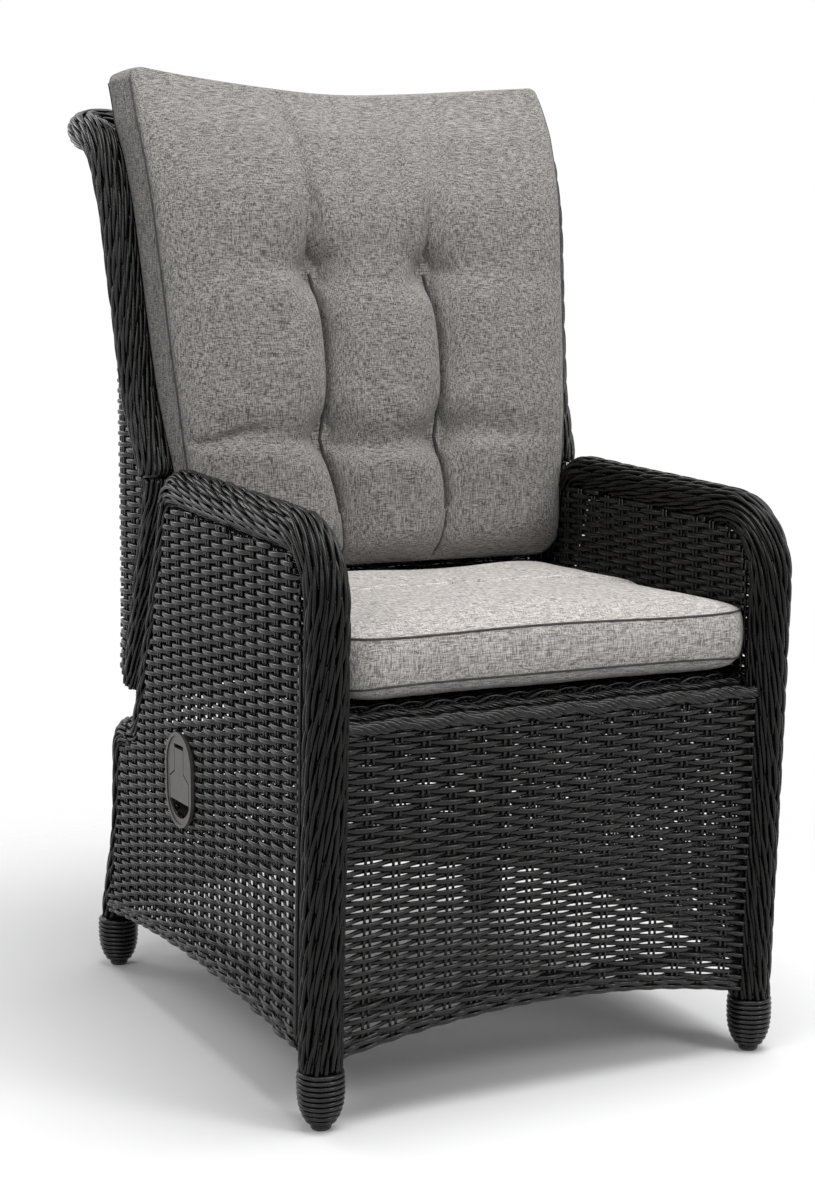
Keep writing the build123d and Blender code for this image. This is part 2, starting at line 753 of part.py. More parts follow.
def build_lever():
    radial = atan2(lever_reach, lever_drop)
    inward_y = rest_pin_y - lever_slot_travel * sin(radial)
    inward_z = rest_pin_z + lever_slot_travel * cos(radial)
    slot_r = spring_pin_r + lever_slot_slack
    body = link(back_low_rail_y, back_low_rail_z, hinge_plate_r, rest_pin_y, rest_pin_z, lever_plate_r)
    slot = link(rest_pin_y, rest_pin_z, slot_r, inward_y, inward_z, slot_r)
    body = body - slot - Pos(back_low_rail_y, back_low_rail_z) * Circle(rail_r + gap)
    arm = plate(body, -lever_plate_x - lever_plate_thickness, -lever_plate_x)
    keep("recline_lever", arm, mirrored(arm))


def build_gas_spring():
    body_start = spring_eye_r + gap
    body_end = body_start + spring_body_length
    bore_r = spring_body_r - spring_wall
    shell = along_spring(Circle(spring_body_r), body_start, body_end)
    bore = along_spring(Circle(bore_r), body_start + spring_wall * 2, body_end - spring_guide_length)
    guide = along_spring(Circle(spring_rod_r + bolt_clearance), body_end - spring_guide_length,
                         body_end + cut_overrun)
    keep("gas_cylinder", shell - bore - guide)

    eye_half = spring_eye_width / 2
    eye = plate(Pos(rest_pin_y, rest_pin_z) * Circle(spring_eye_r), -eye_half, eye_half)
    pin_half = lever_plate_x + lever_plate_thickness + gap * 2
    eye = eye + rod_x(spring_pin_r, -pin_half, pin_half, rest_pin_y, rest_pin_z)
    head_r = spring_pin_r + bracket_thickness / 2
    for x in (-pin_half - rail_wall, pin_half):
        eye = eye + rod_x(head_r, x, x + rail_wall, rest_pin_y, rest_pin_z)
    keep("cylinder_eye", eye)

    head_start = spring_length - head_length / 2
    head_end = spring_length + head_length / 2
    travel = spring_travel()
    piston_stop = body_end - spring_guide_length - travel * travel_rest_share
    rod = along_spring(Circle(spring_rod_r), piston_stop, head_start)
    piston = along_spring(Circle(bore_r - bolt_clearance), piston_stop - piston_length, piston_stop)
    keep("gas_rod", rod + piston)
    block = along_spring(Rectangle(head_width, head_height), head_start, head_end)
    block = block - rod_x(spring_pin_r + bolt_clearance, -head_width, head_width,
                          bracket_pin_y, bracket_pin_z)
    pin_y, pin_z = release_pivot()
    socket = rod_x(release_pin_r + bolt_clearance, -head_width,
                   release_pin_reach - head_width / 2, pin_y, pin_z)
    keep("release_head", block - socket)


def spring_state(turn):
    """Length and slope in degrees of the spring when the backrest has turned by so many degrees."""
    angle = radians(turn)
    pin_y = pivot_y + lever_reach * cos(angle) - lever_drop * sin(angle)
    pin_z = pivot_z - lever_drop * cos(angle) - lever_reach * sin(angle)
    run = pin_y - bracket_pin_y
    rise = bracket_pin_z - pin_z
    return hypot(run, rise), degrees(atan2(rise, run))


def spring_travel():
    """How far the spring shortens over the whole recline."""
    return spring_state(0)[0] - spring_state(recline_degrees)[0]


def release_pivot():
    return on_spring(spring_length - head_length / 2 + release_arm_r, head_height / 2 - release_arm_r)


def build_release_lever():
    pin_y, pin_z = release_pivot()
    inner_x = -head_width / 2 - gap
    arm_tip_z = pin_z + release_arm_length
    arm = plate(link(pin_y, pin_z, release_arm_r, pin_y, arm_tip_z, release_arm_r),
                inner_x - release_arm_thickness, inner_x)
    stub = rod_x(release_pin_r, inner_x, inner_x + release_pin_reach, pin_y, pin_z)
    keep("release_lever", arm + stub)


def build_spring_bracket():
    rail_z = seat_rail_z - rail_r - spring_rail_r - gap
    cheek = link(spring_rail_y, rail_z, spring_rail_r + bracket_thickness * 2,
                 bracket_pin_y, bracket_pin_z, bracket_r)
    cheek = cheek - Pos(spring_rail_y, rail_z) * Circle(spring_rail_r + gap)
    cheek = cheek - Pos(bracket_pin_y, bracket_pin_z) * Circle(spring_pin_r + bolt_clearance)
    side = plate(cheek, -bracket_x - bracket_thickness, -bracket_x)
    keep("spring_bracket", side, mirrored(side))
    reach = bracket_x + bracket_thickness + gap * 2
    pin = rod_x(spring_pin_r, -reach, reach, bracket_pin_y, bracket_pin_z)
    for x in (-reach - rail_wall, reach):
        pin = pin + rod_x(spring_pin_r + bracket_thickness / 2, x, x + rail_wall,
                          bracket_pin_y, bracket_pin_z)
    keep("spring_bracket_pin", pin)


# Pull handle

def stadium(width, height):
    """Upright oval with straight sides and round ends."""
    return Rot(0, 0, 90) * SlotOverall(height, width)


cup_height = handle_height - handle_cup_margin
paddle_hinge_x = -(panel_x + handle_flange - paddle_hinge_depth)
paddle_hinge_z = handle_z + paddle_neck_top - paddle_hinge_drop


def paddle_outline(grow):
    """Narrow neck over a wide blade, in (y, z) about the handle's middle."""
    neck_half = paddle_neck_width / 2 + grow
    blade_half = paddle_blade_width / 2 + grow
    step = (blade_half - neck_half) / 2
    right = [
        (neck_half, paddle_neck_top), (neck_half, paddle_neck_foot + grow),
        (blade_half, paddle_neck_foot + grow - step), (blade_half, paddle_blade_foot),
    ]
    left = [(-y, z) for y, z in reversed(right)]
    return make_face(Polyline(*right, *left, close=True).edges())


def handle_opening():
    """Hole in the face plate: room for the paddle, and for fingers under it."""
    head_room = Pos(0, paddle_neck_top) * Rectangle(
        paddle_neck_width + paddle_slack * 2, paddle_head_room * 2)
    fingers = Pos(0, paddle_blade_foot) * Circle(paddle_blade_width / 2 + paddle_slack)
    fingers = fingers & Pos(0, paddle_blade_foot - handle_height / 2) * Rectangle(
        handle_width, handle_height)
    fingers = fingers & stadium(handle_width - handle_rim * 2, finger_opening_foot * 2)
    return paddle_outline(paddle_slack) + head_room + fingers


def build_handle_housing():
    place = Pos(handle_y, handle_z)
    face_x = panel_x + handle_flange
    back_x = panel_x + gap
    floor_x = back_x - handle_cup_depth
    inner_size = handle_rim * 2
    rim = stadium(handle_width, handle_height)
    rim = rim - stadium(handle_width - inner_size, handle_height - inner_size)
    face = stadium(handle_width, handle_height) - handle_opening()
    cup_width = handle_width - handle_cup_margin - gap * 2
    cup_tall = cup_height - gap * 2
    cup = stadium(cup_width, cup_tall)
    hollow = stadium(cup_width - handle_wall * 2, cup_tall - handle_wall * 2)
    housing = plate(place * face, -face_x, -back_x)
    housing = housing + plate(place * rim, -face_x - handle_rim_height, -face_x)
    housing = housing + plate(place * (cup - hollow), -back_x, -floor_x)
    housing = housing + plate(place * cup, -floor_x, -floor_x + handle_wall)
    lug_y = (paddle_neck_width + paddle_lug_width) / 2 + paddle_slack
    for side in (-lug_y, lug_y):
        lug = Box(back_x - floor_x, paddle_lug_width, paddle_boss_r * 2)
        housing = housing + Pos(-(back_x + floor_x) / 2, handle_y + side, paddle_hinge_z) * lug
    pin_half = lug_y + paddle_lug_width / 2
    bore = rod_y(paddle_pin_r + bolt_clearance, paddle_hinge_x, handle_y - pin_half - gap,
                 handle_y + pin_half + gap, paddle_hinge_z)
    cable_hole = rod_x(cable_r + gap, -floor_x - cut_overrun, -floor_x + cut_overrun,
                       cable_route[0][1], cable_route[0][2])
    keep("handle_housing", housing - bore - cable_hole)
    keep("paddle_pin", rod_y(paddle_pin_r, paddle_hinge_x, handle_y - pin_half,
                             handle_y + pin_half, paddle_hinge_z))


def build_handle_paddle():
    face_x = panel_x + handle_flange
    inner_x = -face_x + paddle_thickness
    neck_half = paddle_neck_width / 2
    blade = plate(Pos(handle_y, handle_z) * paddle_outline(0), -face_x, inner_x)
    boss = rod_y(paddle_boss_r, paddle_hinge_x, handle_y - neck_half, handle_y + neck_half, paddle_hinge_z)
    bridge_x = inner_x - paddle_thickness / 2
    bridge = Box(paddle_hinge_x - bridge_x, paddle_neck_width, paddle_boss_r)
    bridge = Pos((bridge_x + paddle_hinge_x) / 2, handle_y, paddle_hinge_z) * bridge
    bore = rod_y(paddle_pin_r + bolt_clearance, paddle_hinge_x, handle_y - paddle_neck_width,
                 handle_y + paddle_neck_width, paddle_hinge_z)
    keep("handle_paddle", blade + boss + bridge - bore)


# Release cable, clipped under the slats

cable_route = [
    (-272.3, 345.0, 323.0), (-245.0, 345.0, 325.0), (-225.0, 343.0, 342.0), (-212.0, 335.0, 368.0),
    (-202.0, 322.0, 395.0), (-184.0, 308.0, 417.0), (-150.0, 300.0, 425.0), (-105.0, 300.0, 424.5),
    (-65.0, 297.0, 425.0), (-38.0, 281.0, 420.0), (-26.0, 256.0, 411.0), (-14.2, 232.3, 402.5),
]


def build_cable():
    radii = []
    for before, here, after in zip(cable_route, cable_route[1:], cable_route[2:]):
        incoming = Vector(*here) - Vector(*before)
        outgoing = Vector(*after) - Vector(*here)
        turn = radians(incoming.get_angle(outgoing))
        shorter = min(incoming.length, outgoing.length)
        radii.append(cable_bend_share * shorter / tan(turn / 2))
    print("cable radii", [round(value) for value in radii])
    line = FilletPolyline(*cable_route, radius=radii)
    path = Wire(line.edges())
    cable = sweep(Plane(path @ 0, z_dir=path % 0) * Circle(cable_r), path=path)
    print("cable volume ratio", cable.volume / (Circle(cable_r).area * path.length))
    keep("release_cable", cable)
    clips = []
    for start, end in (cable_route[6:8], cable_route[7:9]):
        x, y, z = [(a + b) / 2 for a, b in zip(start, end)]
        low_z = z - cable_r - cable_clip_wall
        top_z = seat_rail_z + rail_r
        block = Box(cable_clip_width, cable_clip_width, top_z - low_z)
        block = Pos(x, y, (low_z + top_z) / 2) * block
        along = Vector(*end) - Vector(*start)
        hole = Plane(origin=(x, y, z), z_dir=along) * Cylinder(cable_r + gap, cable_clip_width * 2)
        clips.append(block - hole)
    keep("cable_clips", *clips)


# Cushions

def rounded(half_x, y_front, y_rear, z, corner):
    """Rectangle with round corners, at height z."""
    outline = RectangleRounded(half_x * 2, y_rear - y_front, corner)
    return Pos(0, (y_front + y_rear) / 2, z) * outline


def build_seat_cushion():
    """Box cushion with a domed top and underside and sides that swell between the seams."""
    def section(z, inset):
        corner = seat_pad_corner_r - min(inset, seat_pad_corner_r / 2) / 2
        return rounded(seat_pad_half_width - inset, seat_pad_front_y + inset,
                       seat_pad_rear_y - inset, z, corner)

    middle_z = (seat_pad_low_seam_z + seat_pad_high_seam_z) / 2
    sides = loft([
        section(seat_pad_low_seam_z, 0), section(middle_z, -seat_pad_bulge),
        section(seat_pad_high_seam_z, 0),
    ])
    top = loft([
        section(seat_pad_high_seam_z + seat_pad_crown * rise, seat_pad_half_width * inset)
        for rise, inset in crown_shares])
    under = loft([
        section(seat_pad_low_seam_z - seat_pad_underside * rise, seat_pad_half_width * inset)
        for rise, inset in crown_shares])
    keep("seat_cushion", sides + top + under)


crown_shares = [(0, 0), (0.42, 0.05), (0.80, 0.20), (1, 0.50)]


def back_pad_section(z, half, seam_y, crown, tuft):
    """Outline at height z: three swelling columns in front, drawn in by the tuft between them."""
    rear_y = seam_y + back_pad_depth
    rear_half = half - back_pad_taper
    peak_y = seam_y - crown
    pinch_y = peak_y + tuft
    column_x = (half + back_pad_tuft_x) / 2
    side = (half + back_pad_bulge / 2, (seam_y + rear_y) / 2)
    edges = [
        ThreePointArc((-half, seam_y), (-column_x, peak_y), (-back_pad_tuft_x, pinch_y)),
        ThreePointArc((-back_pad_tuft_x, pinch_y), (0, peak_y), (back_pad_tuft_x, pinch_y)),
        ThreePointArc((back_pad_tuft_x, pinch_y), (column_x, peak_y), (half, seam_y)),
        ThreePointArc((half, seam_y), side, (rear_half, rear_y)),
        Line((rear_half, rear_y), (-rear_half, rear_y)),
        ThreePointArc((-rear_half, rear_y), (-side[0], side[1]), (-half, seam_y)),
    ]
    return Pos(0, 0, z) * make_face(edges)


def back_rest_y(z):
    """The y of the backrest frame's side at height z, carried straight on above the neck."""
    corners = [(y, z) for x, y, z in back_half[:5]]
    for low, high in zip(corners, corners[1:-1]):
        if z < high[1]:
            return line_y(z, low, high)
    return line_y(z, corners[-2], corners[-1])


def build_back_cushion():
    """Tall cushion in three columns, with four sewn tufts and raised top corners."""
    height = back_pad_high_z - back_pad_low_z
    spread = back_pad_high_half_width - back_pad_low_half_width
    sections = []
    for rise, width, sink, crown, tuft in back_pad_shares:
        z = back_pad_low_z + height * rise
        seam_y = back_rest_y(z) - back_pad_depth * (1 - sink)
        sections.append(back_pad_section(
            z, back_pad_low_half_width + spread * width, seam_y, back_pad_crown * crown,
            back_pad_tuft_depth * tuft))
    pad = loft(sections)
    reach = back_pad_high_half_width + back_pad_bulge
    band = skin_face(back_front_line(), weave_thickness + gap * 4)
    pad = largest(pad - plate(band, -reach, reach))
    dip = ThreePointArc((-reach, back_pad_high_z), (0, back_pad_high_z - back_pad_dip),
                        (reach, back_pad_high_z))
    top_z = back_pad_high_z + cut_overrun
    lid = Polyline((reach, back_pad_high_z), (reach, top_z), (-reach, top_z), (-reach, back_pad_high_z))
    dip_cut = Plane.XZ * extrude(make_face(dip.edges() + lid.edges()), -crest_y)
    keep("back_cushion", largest(pad - dip_cut))


# Each row: share of the height and of the spread in width, how far the rear sinks into the backrest
# as a share of the depth, share of the crown, share of the tuft depth
back_pad_shares = [
    (0, 0, 0.044, 0.45, 0.08), (0.04, 0.20, -0.035, 0.90, 0.15), (0.15, 0.22, 0.321, 0.95, 0.30),
    (0.265, 0.40, 0.217, 1, 1), (0.435, 0.58, 0.047, 1, 0.30), (0.605, 0.72, 0.052, 1, 1),
    (0.765, 0.85, -0.012, 0.95, 0.30), (0.90, 0.95, 0.010, 0.75, 0.15), (1, 0.90, 0.102, 0.35, 0.08),
]


build_side_frames()
build_wraps()
build_rails()
build_seat()
build_side_panels()
build_inner_arms()
build_front_panel()
build_rear_panel()
build_feet()
build_back_frame()
build_back_skins()
build_cheeks()
build_hinges()
build_lever()
build_gas_spring()
build_release_lever()
build_spring_bracket()
build_handle_housing()
build_handle_paddle()
build_cable()
build_seat_cushion()
build_back_cushion()

whole = Compound(children=[solid for solids in nodes.values() for solid in solids]).bounding_box()
middle_y = (whole.min.Y + whole.max.Y) / 2
for name, solids in nodes.items():
    moved = [Pos(0, -middle_y, 0) * solid for solid in solids]
    export_step(Compound(children=moved), f"parts/{name}.step")

rest_length, rest_slope = spring_state(0)
end_length, end_slope = spring_state(recline_degrees)
print("moved forward by", middle_y, "whole", whole)
print("spring", rest_length, end_length, "slopes", rest_slope, end_slope)
print("bracket pin", bracket_pin_y, bracket_pin_z, "release pivot", release_pivot())
print("paddle hinge", paddle_hinge_x, paddle_hinge_z, "deck top", deck_top_z, "panel", panel_inner_x)
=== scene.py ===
import json
import math

import bmesh
import bpy
import numpy as np
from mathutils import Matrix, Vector


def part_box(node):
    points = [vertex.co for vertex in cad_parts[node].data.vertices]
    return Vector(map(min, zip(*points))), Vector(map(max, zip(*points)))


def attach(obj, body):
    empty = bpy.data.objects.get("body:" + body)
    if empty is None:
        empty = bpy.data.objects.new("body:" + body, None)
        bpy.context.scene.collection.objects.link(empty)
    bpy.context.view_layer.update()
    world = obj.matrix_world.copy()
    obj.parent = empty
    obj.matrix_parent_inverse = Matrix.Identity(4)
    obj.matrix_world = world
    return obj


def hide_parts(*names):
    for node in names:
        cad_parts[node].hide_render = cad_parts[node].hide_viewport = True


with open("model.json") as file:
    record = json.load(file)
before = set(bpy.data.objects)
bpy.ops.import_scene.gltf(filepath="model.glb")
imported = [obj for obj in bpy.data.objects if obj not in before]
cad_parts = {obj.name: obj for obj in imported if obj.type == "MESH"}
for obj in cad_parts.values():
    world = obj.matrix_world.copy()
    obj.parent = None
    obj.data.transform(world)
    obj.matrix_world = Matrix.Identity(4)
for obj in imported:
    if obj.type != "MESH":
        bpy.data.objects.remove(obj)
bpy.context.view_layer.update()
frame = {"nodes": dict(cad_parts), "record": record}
scene = bpy.context.scene
rng = np.random.RandomState(7)

# Sizes, in metres. X is across the chair, +Y to the rear, +Z up.

line_step = 0.004
arc_points = 13

# Woven panels: rows that pass over and under pairs of stakes
strand_width = 0.0066
strand_thick = 0.0039
strand_spread = 0.04
row_pitch = 0.0065
row_step = 0.0045
row_wobble = 0.0004
stake_pitch = 0.0325
stake_apart = 0.0068
stake_width = 0.0036
stake_thick = 0.0030
stake_step = 0.010
weave_wave = (stake_thick + strand_thick) / 2
weave_wave_power = 0.75
weave_tuck = 0.007
deck_strand_width = 0.0088
# A panel with a hem: its rows narrow below a level, and cords follow its edge
open_below_z = 0.30
open_fade = 0.08
open_share = 0.16
hem_rows = 3
hem_pitch = 0.0056
hem_width = 0.0062
hem_wave = 0.0014
hem_margin = 0.003
hem_points = 160
cord_flat = 0.8

# Wraps: columns of long strands round a tube. Pairs are ranges of random shares.
braid_width = 0.0051
braid_thick = 0.0052
braid_end_width = 0.62
braid_sink = 0.0044
braid_sink_power = 1.4
braid_jitter = 0.0006
braid_core = 0.0062
braid_core_sides = 16
braid_column = 0.0096
braid_length = 0.066
braid_pitch = 0.0330
braid_stagger = 0.45
braid_sweep = 0.0120
braid_points = 15
braid_start = (0.2, 0.8)
braid_stretch = (0.88, 1.12)
braid_slant = (0.7, 1.3)
braid_gap = (0.85, 1.15)
braid_shift = (0.4, 0.6)

# Twisted rims
rim_r = 0.007
front_rim_r = 0.0092
rope_strands = 9
rope_bundles = 3
rope_pitch = 0.085
rope_bundle = 0.038
rope_dive = 0.0016
rope_fill = 0.86
rope_sit = 2.4

# Side frame, as (y from the front feet, z)
side_x = 0.275
leg_wrap_r = 0.025
post_wrap_r = 0.022
rear_wrap_r = 0.022
back_wrap_r = 0.024
back_low_wrap_r = 0.018
front_foot = (0.0, 0.076)
knee = (-0.027, 0.627)
arm_end = (0.397, 0.651)
post_mid = (0.452, 0.500)
post_foot = (0.521, 0.335)
shoulder = (0.591, 0.323)
rear_mid = (0.600, 0.195)
rear_kink = (0.648, 0.078)
foot_top_z = 0.063
knee_bend_r = 0.075
arm_bend_r = 0.038
post_bend_r = 0.400
post_foot_bend_r = 0.028
shoulder_bend_r = 0.026
leg_bend_r = 0.300
rear_kink_r = 0.050
# Steps that each wrap goes on past its corner
arm_cut_steps = 6
shoulder_cut_steps = 7
hem_corner_z = 0.076
hem_middle_z = 0.103
side_hem_middle_z = 0.098
skirt_arch_reach = 0.25
side_arch_reach = 0.30
seat_rail_z = 0.424
side_weave_x = 0.2935
side_weave_inset = 0.021
arm_weave_x = 0.255
arm_weave_inset = 0.016
skirt_depth = 0.0085

# Backrest, as (x, y from the front feet, z)
back_corners = [
    (0.281, 0.545, 0.390), (0.280, 0.452, 0.660), (0.288, 0.492, 0.752),
    (0.300, 0.528, 0.980), (0.306, 0.558, 1.064), (0.308, 0.656, 1.088),
]
back_radii = [0.060, 0.200, 0.200, 0.060, 0.042]
rear_skin = [(0.566, 0.404), (0.553, 0.560), (0.550, 0.985), (0.586, 1.046), (0.640, 1.060)]
rear_skin_radii = [0.300, 0.040, 0.040]
cheek_x = 0.293
cheek_low_z = 0.396
cheek_top_z = 0.850
cheek_front_in = 0.008
cheek_rear_in = 0.004
cheek_first_stake = 0.51
# Half widths of the rear skin by height, and at its top edge
rear_skin_halves = [(0.83, cheek_x), (0.93, 0.282), (1.02, 0.281)]
rear_skin_top_half = 0.284

# Feet and handle
glide_r = 0.011
foot_rings = 11
foot_profile = [(0.0258, 0.063), (0.0264, 0.056), (0.0262, 0.042), (0.0250, 0.030),
                (0.0218, 0.019), (0.0165, 0.010), (0.0120, 0.006)]
foot_cord_fill = 1.02
foot_cord_width = 1.9
foot_cord_thick = 2.0
foot_core_in = 1.3
foot_ring_points = 41
handle_centre = (0.345, 0.310)
handle_half = (0.040, 0.055)

# Cushions
weld_distance = 0.00005
cord_sides = 8
piping_width = 0.0027
# Stitch cords in the crease valleys: partly a sewn stitch, partly painted shade of the crease lines
stitch_shade_width = 0.0040
stitch_shade_lift = 0.0009

# Back cushion
pad_low_z = 0.5440
pad_high_z = 1.152
pad_low_half = 0.245
pad_high_half = 0.288
pad_depth = 0.074
pad_flare = 0.001
pad_crown = 0.030
pad_bulge = 0.008
pad_bulge_fade = 0.05
pad_top_puff = 0.006
pad_dip = 0.026
pad_corner_r = 0.020
pad_ear_r = 0.016
pad_low_round = 0.045
pad_high_round = 0.085
pad_wave = 0.0012
pad_least_swell = -0.004
skin_clear = 0.0046
seam_points = 301
seam_reach = 32
# Mesh of the cushion: points up and through it, then points and easing of its columns
pad_points_up = 231
pad_points_deep = 15
outer_column = (62, 0.55)
inner_column = (56, 0.6)
# Each row: share of the height and of the spread in width, sink into the backrest, crown
back_pad_shares = [
    (0, 0, 0.044, 0.45), (0.04, 0.20, -0.035, 0.90), (0.15, 0.22, 0.321, 0.95),
    (0.265, 0.40, 0.217, 1), (0.435, 0.58, 0.047, 1), (0.605, 0.72, 0.052, 1),
    (0.765, 0.85, -0.012, 0.95), (0.90, 0.95, 0.010, 0.75), (1, 0.90, 0.102, 0.35),
]
# Tufts and the two sewn creases, left (-1) and right (1)
tuft_x = {-1: -0.083, 1: 0.075}
tuft_high_z = 0.907
tuft_low_z = 0.702
tuft_extra = 0.017
tuft_reach = 0.020
pucker_height = 0.0022
pucker_reach = 0.034
pucker_count = 5
crease_bow = 0.0125
crease_drift = {-1: 0.028, 1: -0.004}
low_bow = {-1: 0.004, 1: 0.011}
crease_depth = 0.040
crease_hold = 0.66
crease_hold_reach = 0.035
crease_low_loss = 0.35
crease_width = 0.062
crease_narrowing = 0.020
crease_spread = 0.012
crease_fade = 0.16
stitch_depth = 0.007
stitch_reach = 0.0036
# Each cross crease: height, depth, width
cross_creases = [(tuft_high_z, 0.0070, 0.030), (tuft_low_z, 0.0110, 0.020)]
cross_dip = 0.006
side_fold_depth = 0.0090
side_fold_width = 0.0060
side_fold_rise = 0.006
side_fold_wave = 0.007
side_fold_gap = 0.065
side_fold_fade = 0.05
# Each fold above the tufts: x, lean, width, depth
top_folds = [
    (-0.074, -0.12, 0.012, 0.00765), (-0.052, 0.10, 0.014, 0.00510), (-0.010, 0.10, 0.016, 0.00374),
    (0.030, 0.06, 0.014, 0.00442), (0.078, 0.16, 0.013, 0.00680),
]
top_fold_fade = 0.06

# Seat cushion
seat_half = 0.2550
seat_front_y = -0.018
seat_rear_y = 0.448
seat_low_z = 0.4710
seat_high_z = 0.521
seat_crown = 0.022
seat_under = 0.0195
seat_corner_r = 0.036
seat_bulge = 0.0048
seat_ear = 0.005
seat_sag = 0.0022
seat_wave = 0.0012
seat_seam_wave = 0.0009
seat_inner = 0.02
seat_points = 300
seat_under_rings = 40
seat_side_rings = 17
seat_top_rings = 60

# Camera, lights and floor. Each light: place, height of its target, size, power
camera_place = (-1.16155, -1.96256, 0.84967)
camera_target = (-0.01021, 0.32196, 0.50924)
camera_lens = 63.636
sensor_width = 36.0
lights = {
    "key_light": ((-2.4, -1.2, 2.2), 0.5, 1.3, 15),
    "front_light": ((1.7, -2.9, 2.3), 0.4, 1.2, 36),
    "top_light": ((0.3, -0.5, 3.2), 0.4, 2.4, 77),
    "rear_light": ((-1.5, 2.6, 1.9), 0.5, 1.1, 15),
}
world_light = 0.33
floor_reach = 4.0
floor_drop = 0.0005
floor_tone = 0.97
floor_fade = (0.6, 1.3)

front_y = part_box("foot_glides")[0].y + glide_r
hands = (("left", -1.0), ("right", 1.0))
to_front = (0.0, -1.0, 0.0)


# Lines

def unit(v):
    return v / np.linalg.norm(v, axis=-1, keepdims=True)


def distances(points):
    """Distance of each point from the first, measured along the line."""
    return np.r_[0, np.cumsum(np.linalg.norm(np.diff(points, axis=0), axis=1))]


def along(points, step):
    """The same line with points at an even step."""
    points = np.asarray(points, float)
    lengths = distances(points)
    count = max(2, int(round(lengths[-1] / step)) + 1)
    even = np.linspace(0, lengths[-1], count)
    return np.stack([np.interp(even, lengths, points[:, k]) for k in range(points.shape[1])], 1)


def rounded_line(corners, radii):
    """A line of straight runs joined by arcs, with points at an even step."""
    corners = [np.asarray(c, float) for c in corners]
    points = [corners[0]]
    for before, here, after, radius in zip(corners, corners[1:], corners[2:], radii):
        inward = unit(here - before)
        outward = unit(after - here)
        turn = math.acos(np.clip(inward @ outward, -1, 1))
        start = here - inward * radius * math.tan(turn / 2)
        side = unit(outward - inward * (inward @ outward))
        for share in np.linspace(0, 1, arc_points):
            angle = turn * share
            step = side * (1 - math.cos(angle)) + inward * math.sin(angle)
            points.append(start + radius * step)
    points.append(corners[-1])
    return along(points, line_step)


def in_side_plane(line, x):
    """A (y, z) line placed at one x, in the shared frame."""
    return np.stack([np.full(len(line), x), line[:, 0] + front_y, line[:, 1]], 1)


def frames_along(points, normal):
    """Normal and side direction at each point, carried along the line without twist."""
    tangents = unit(np.gradient(points, axis=0))
    normal = np.asarray(normal, float)
    normals = []
    for tangent in tangents:
        normal = unit(normal - tangent * (normal @ tangent))
        normals.append(normal)
    normals = np.array(normals)
    return normals, np.cross(tangents, normals)


def nearest(line, point):
    """Index of the line's point nearest to a point."""
    return int(np.argmin(np.linalg.norm(line - point, axis=1)))


def all_facing(direction, points):
    """One outward direction, repeated for every point."""
    return np.tile(direction, (len(points), 1))


def oblong(low_u, low_v, high_u, high_v):
    return [(low_u, low_v), (high_u, low_v), (high_u, high_v), (low_u, high_v)]


def line_at(z, low, high):
    """The y at height z on the line through two (y, z) points, which may be the same."""
    return low[0] + (high[0] - low[0]) * (z - low[1]) / (high[1] - low[1] or 1.0)


# Mesh building

class Strands:
    """Collects many swept strands into one mesh."""

    def __init__(self, sides=6):
        self.sides = sides
        self.points = []
        self.faces = []
        self.count = 0

    def add(self, centre, normal, width, thick, closed=False):
        """One strand: an oval section swept along centre, its flat side facing normal."""
        sides = self.sides
        centre = np.asarray(centre, float)
        tangent = unit(np.gradient(centre, axis=0))
        side = unit(np.cross(tangent, normal))
        normal = np.cross(side, tangent)
        turn = np.arange(sides) * 2 * math.pi / sides
        rows = len(centre)
        across, deep = (np.broadcast_to(np.asarray(size, float) / 2, rows)[:, None, None]
                        for size in (width, thick))
        ring = (centre[:, None] + side[:, None] * across * np.cos(turn)[:, None]
                + normal[:, None] * deep * np.sin(turn)[:, None])
        self.points.append(ring.reshape(-1, 3))
        base = self.count
        ring_starts = base + np.arange(rows - 1)[:, None] * sides
        here = ring_starts + np.arange(sides)
        after = ring_starts + (np.arange(sides) + 1) % sides
        quads = np.stack([here, after, after + sides, here + sides], -1)
        self.faces += quads.reshape(-1, 4).tolist()
        self.count += rows * sides
        if not closed:
            self.faces.append(list(range(base, base + sides))[::-1])
            self.faces.append(list(range(self.count - sides, self.count)))

    def build(self, name, material, body, replaced=None):
        mesh = bpy.data.meshes.new(name)
        mesh.from_pydata(np.concatenate(self.points).tolist(), [], self.faces)
        finish_piece(mesh, name, material, body, replaced)


def add_object(name, data):
    thing = bpy.data.objects.new(name, data)
    scene.collection.objects.link(thing)
    return thing


def finish_piece(mesh, name, material, body, replaced=None):
    """Smooth object with its material, body, slot and the node it replaces."""
    mesh.validate()
    mesh.polygons.foreach_set("use_smooth", [True] * len(mesh.polygons))
    mesh.materials.append(material)
    piece = add_object(name, mesh)
    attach(piece, body)
    if replaced:
        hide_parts(replaced)
    return piece


# Materials

def new_material(name):
    material = bpy.data.materials.new(name)
    material.use_nodes = True
    tree = material.node_tree
    return material, tree.nodes, tree.links, tree.nodes["Principled BSDF"]


def noise(nodes, links, scale, detail=3.0, stretch=(1, 1, 1)):
    """Noise in the piece's own axes, with a scale for each axis."""
    place = nodes.new("ShaderNodeTexCoord")
    mapping = nodes.new("ShaderNodeMapping")
    mapping.inputs["Scale"].default_value = stretch
    texture = nodes.new("ShaderNodeTexNoise")
    texture.inputs["Scale"].default_value = scale
    texture.inputs["Detail"].default_value = detail
    links.new(place.outputs["Object"], mapping.inputs["Vector"])
    links.new(mapping.outputs["Vector"], texture.inputs["Vector"])
    return texture.outputs["Fac"]


def ramp(nodes, links, value, dark, light, low=0.3, high=0.7):
    """Colour from dark at a low value to light at a high one."""
    mix = nodes.new("ShaderNodeValToRGB")
    for element, position, colour in zip(mix.color_ramp.elements, (low, high), (dark, light)):
        element.position = position
        element.color = (*colour, 1)
    links.new(value, mix.inputs["Fac"])
    return mix.outputs["Color"]


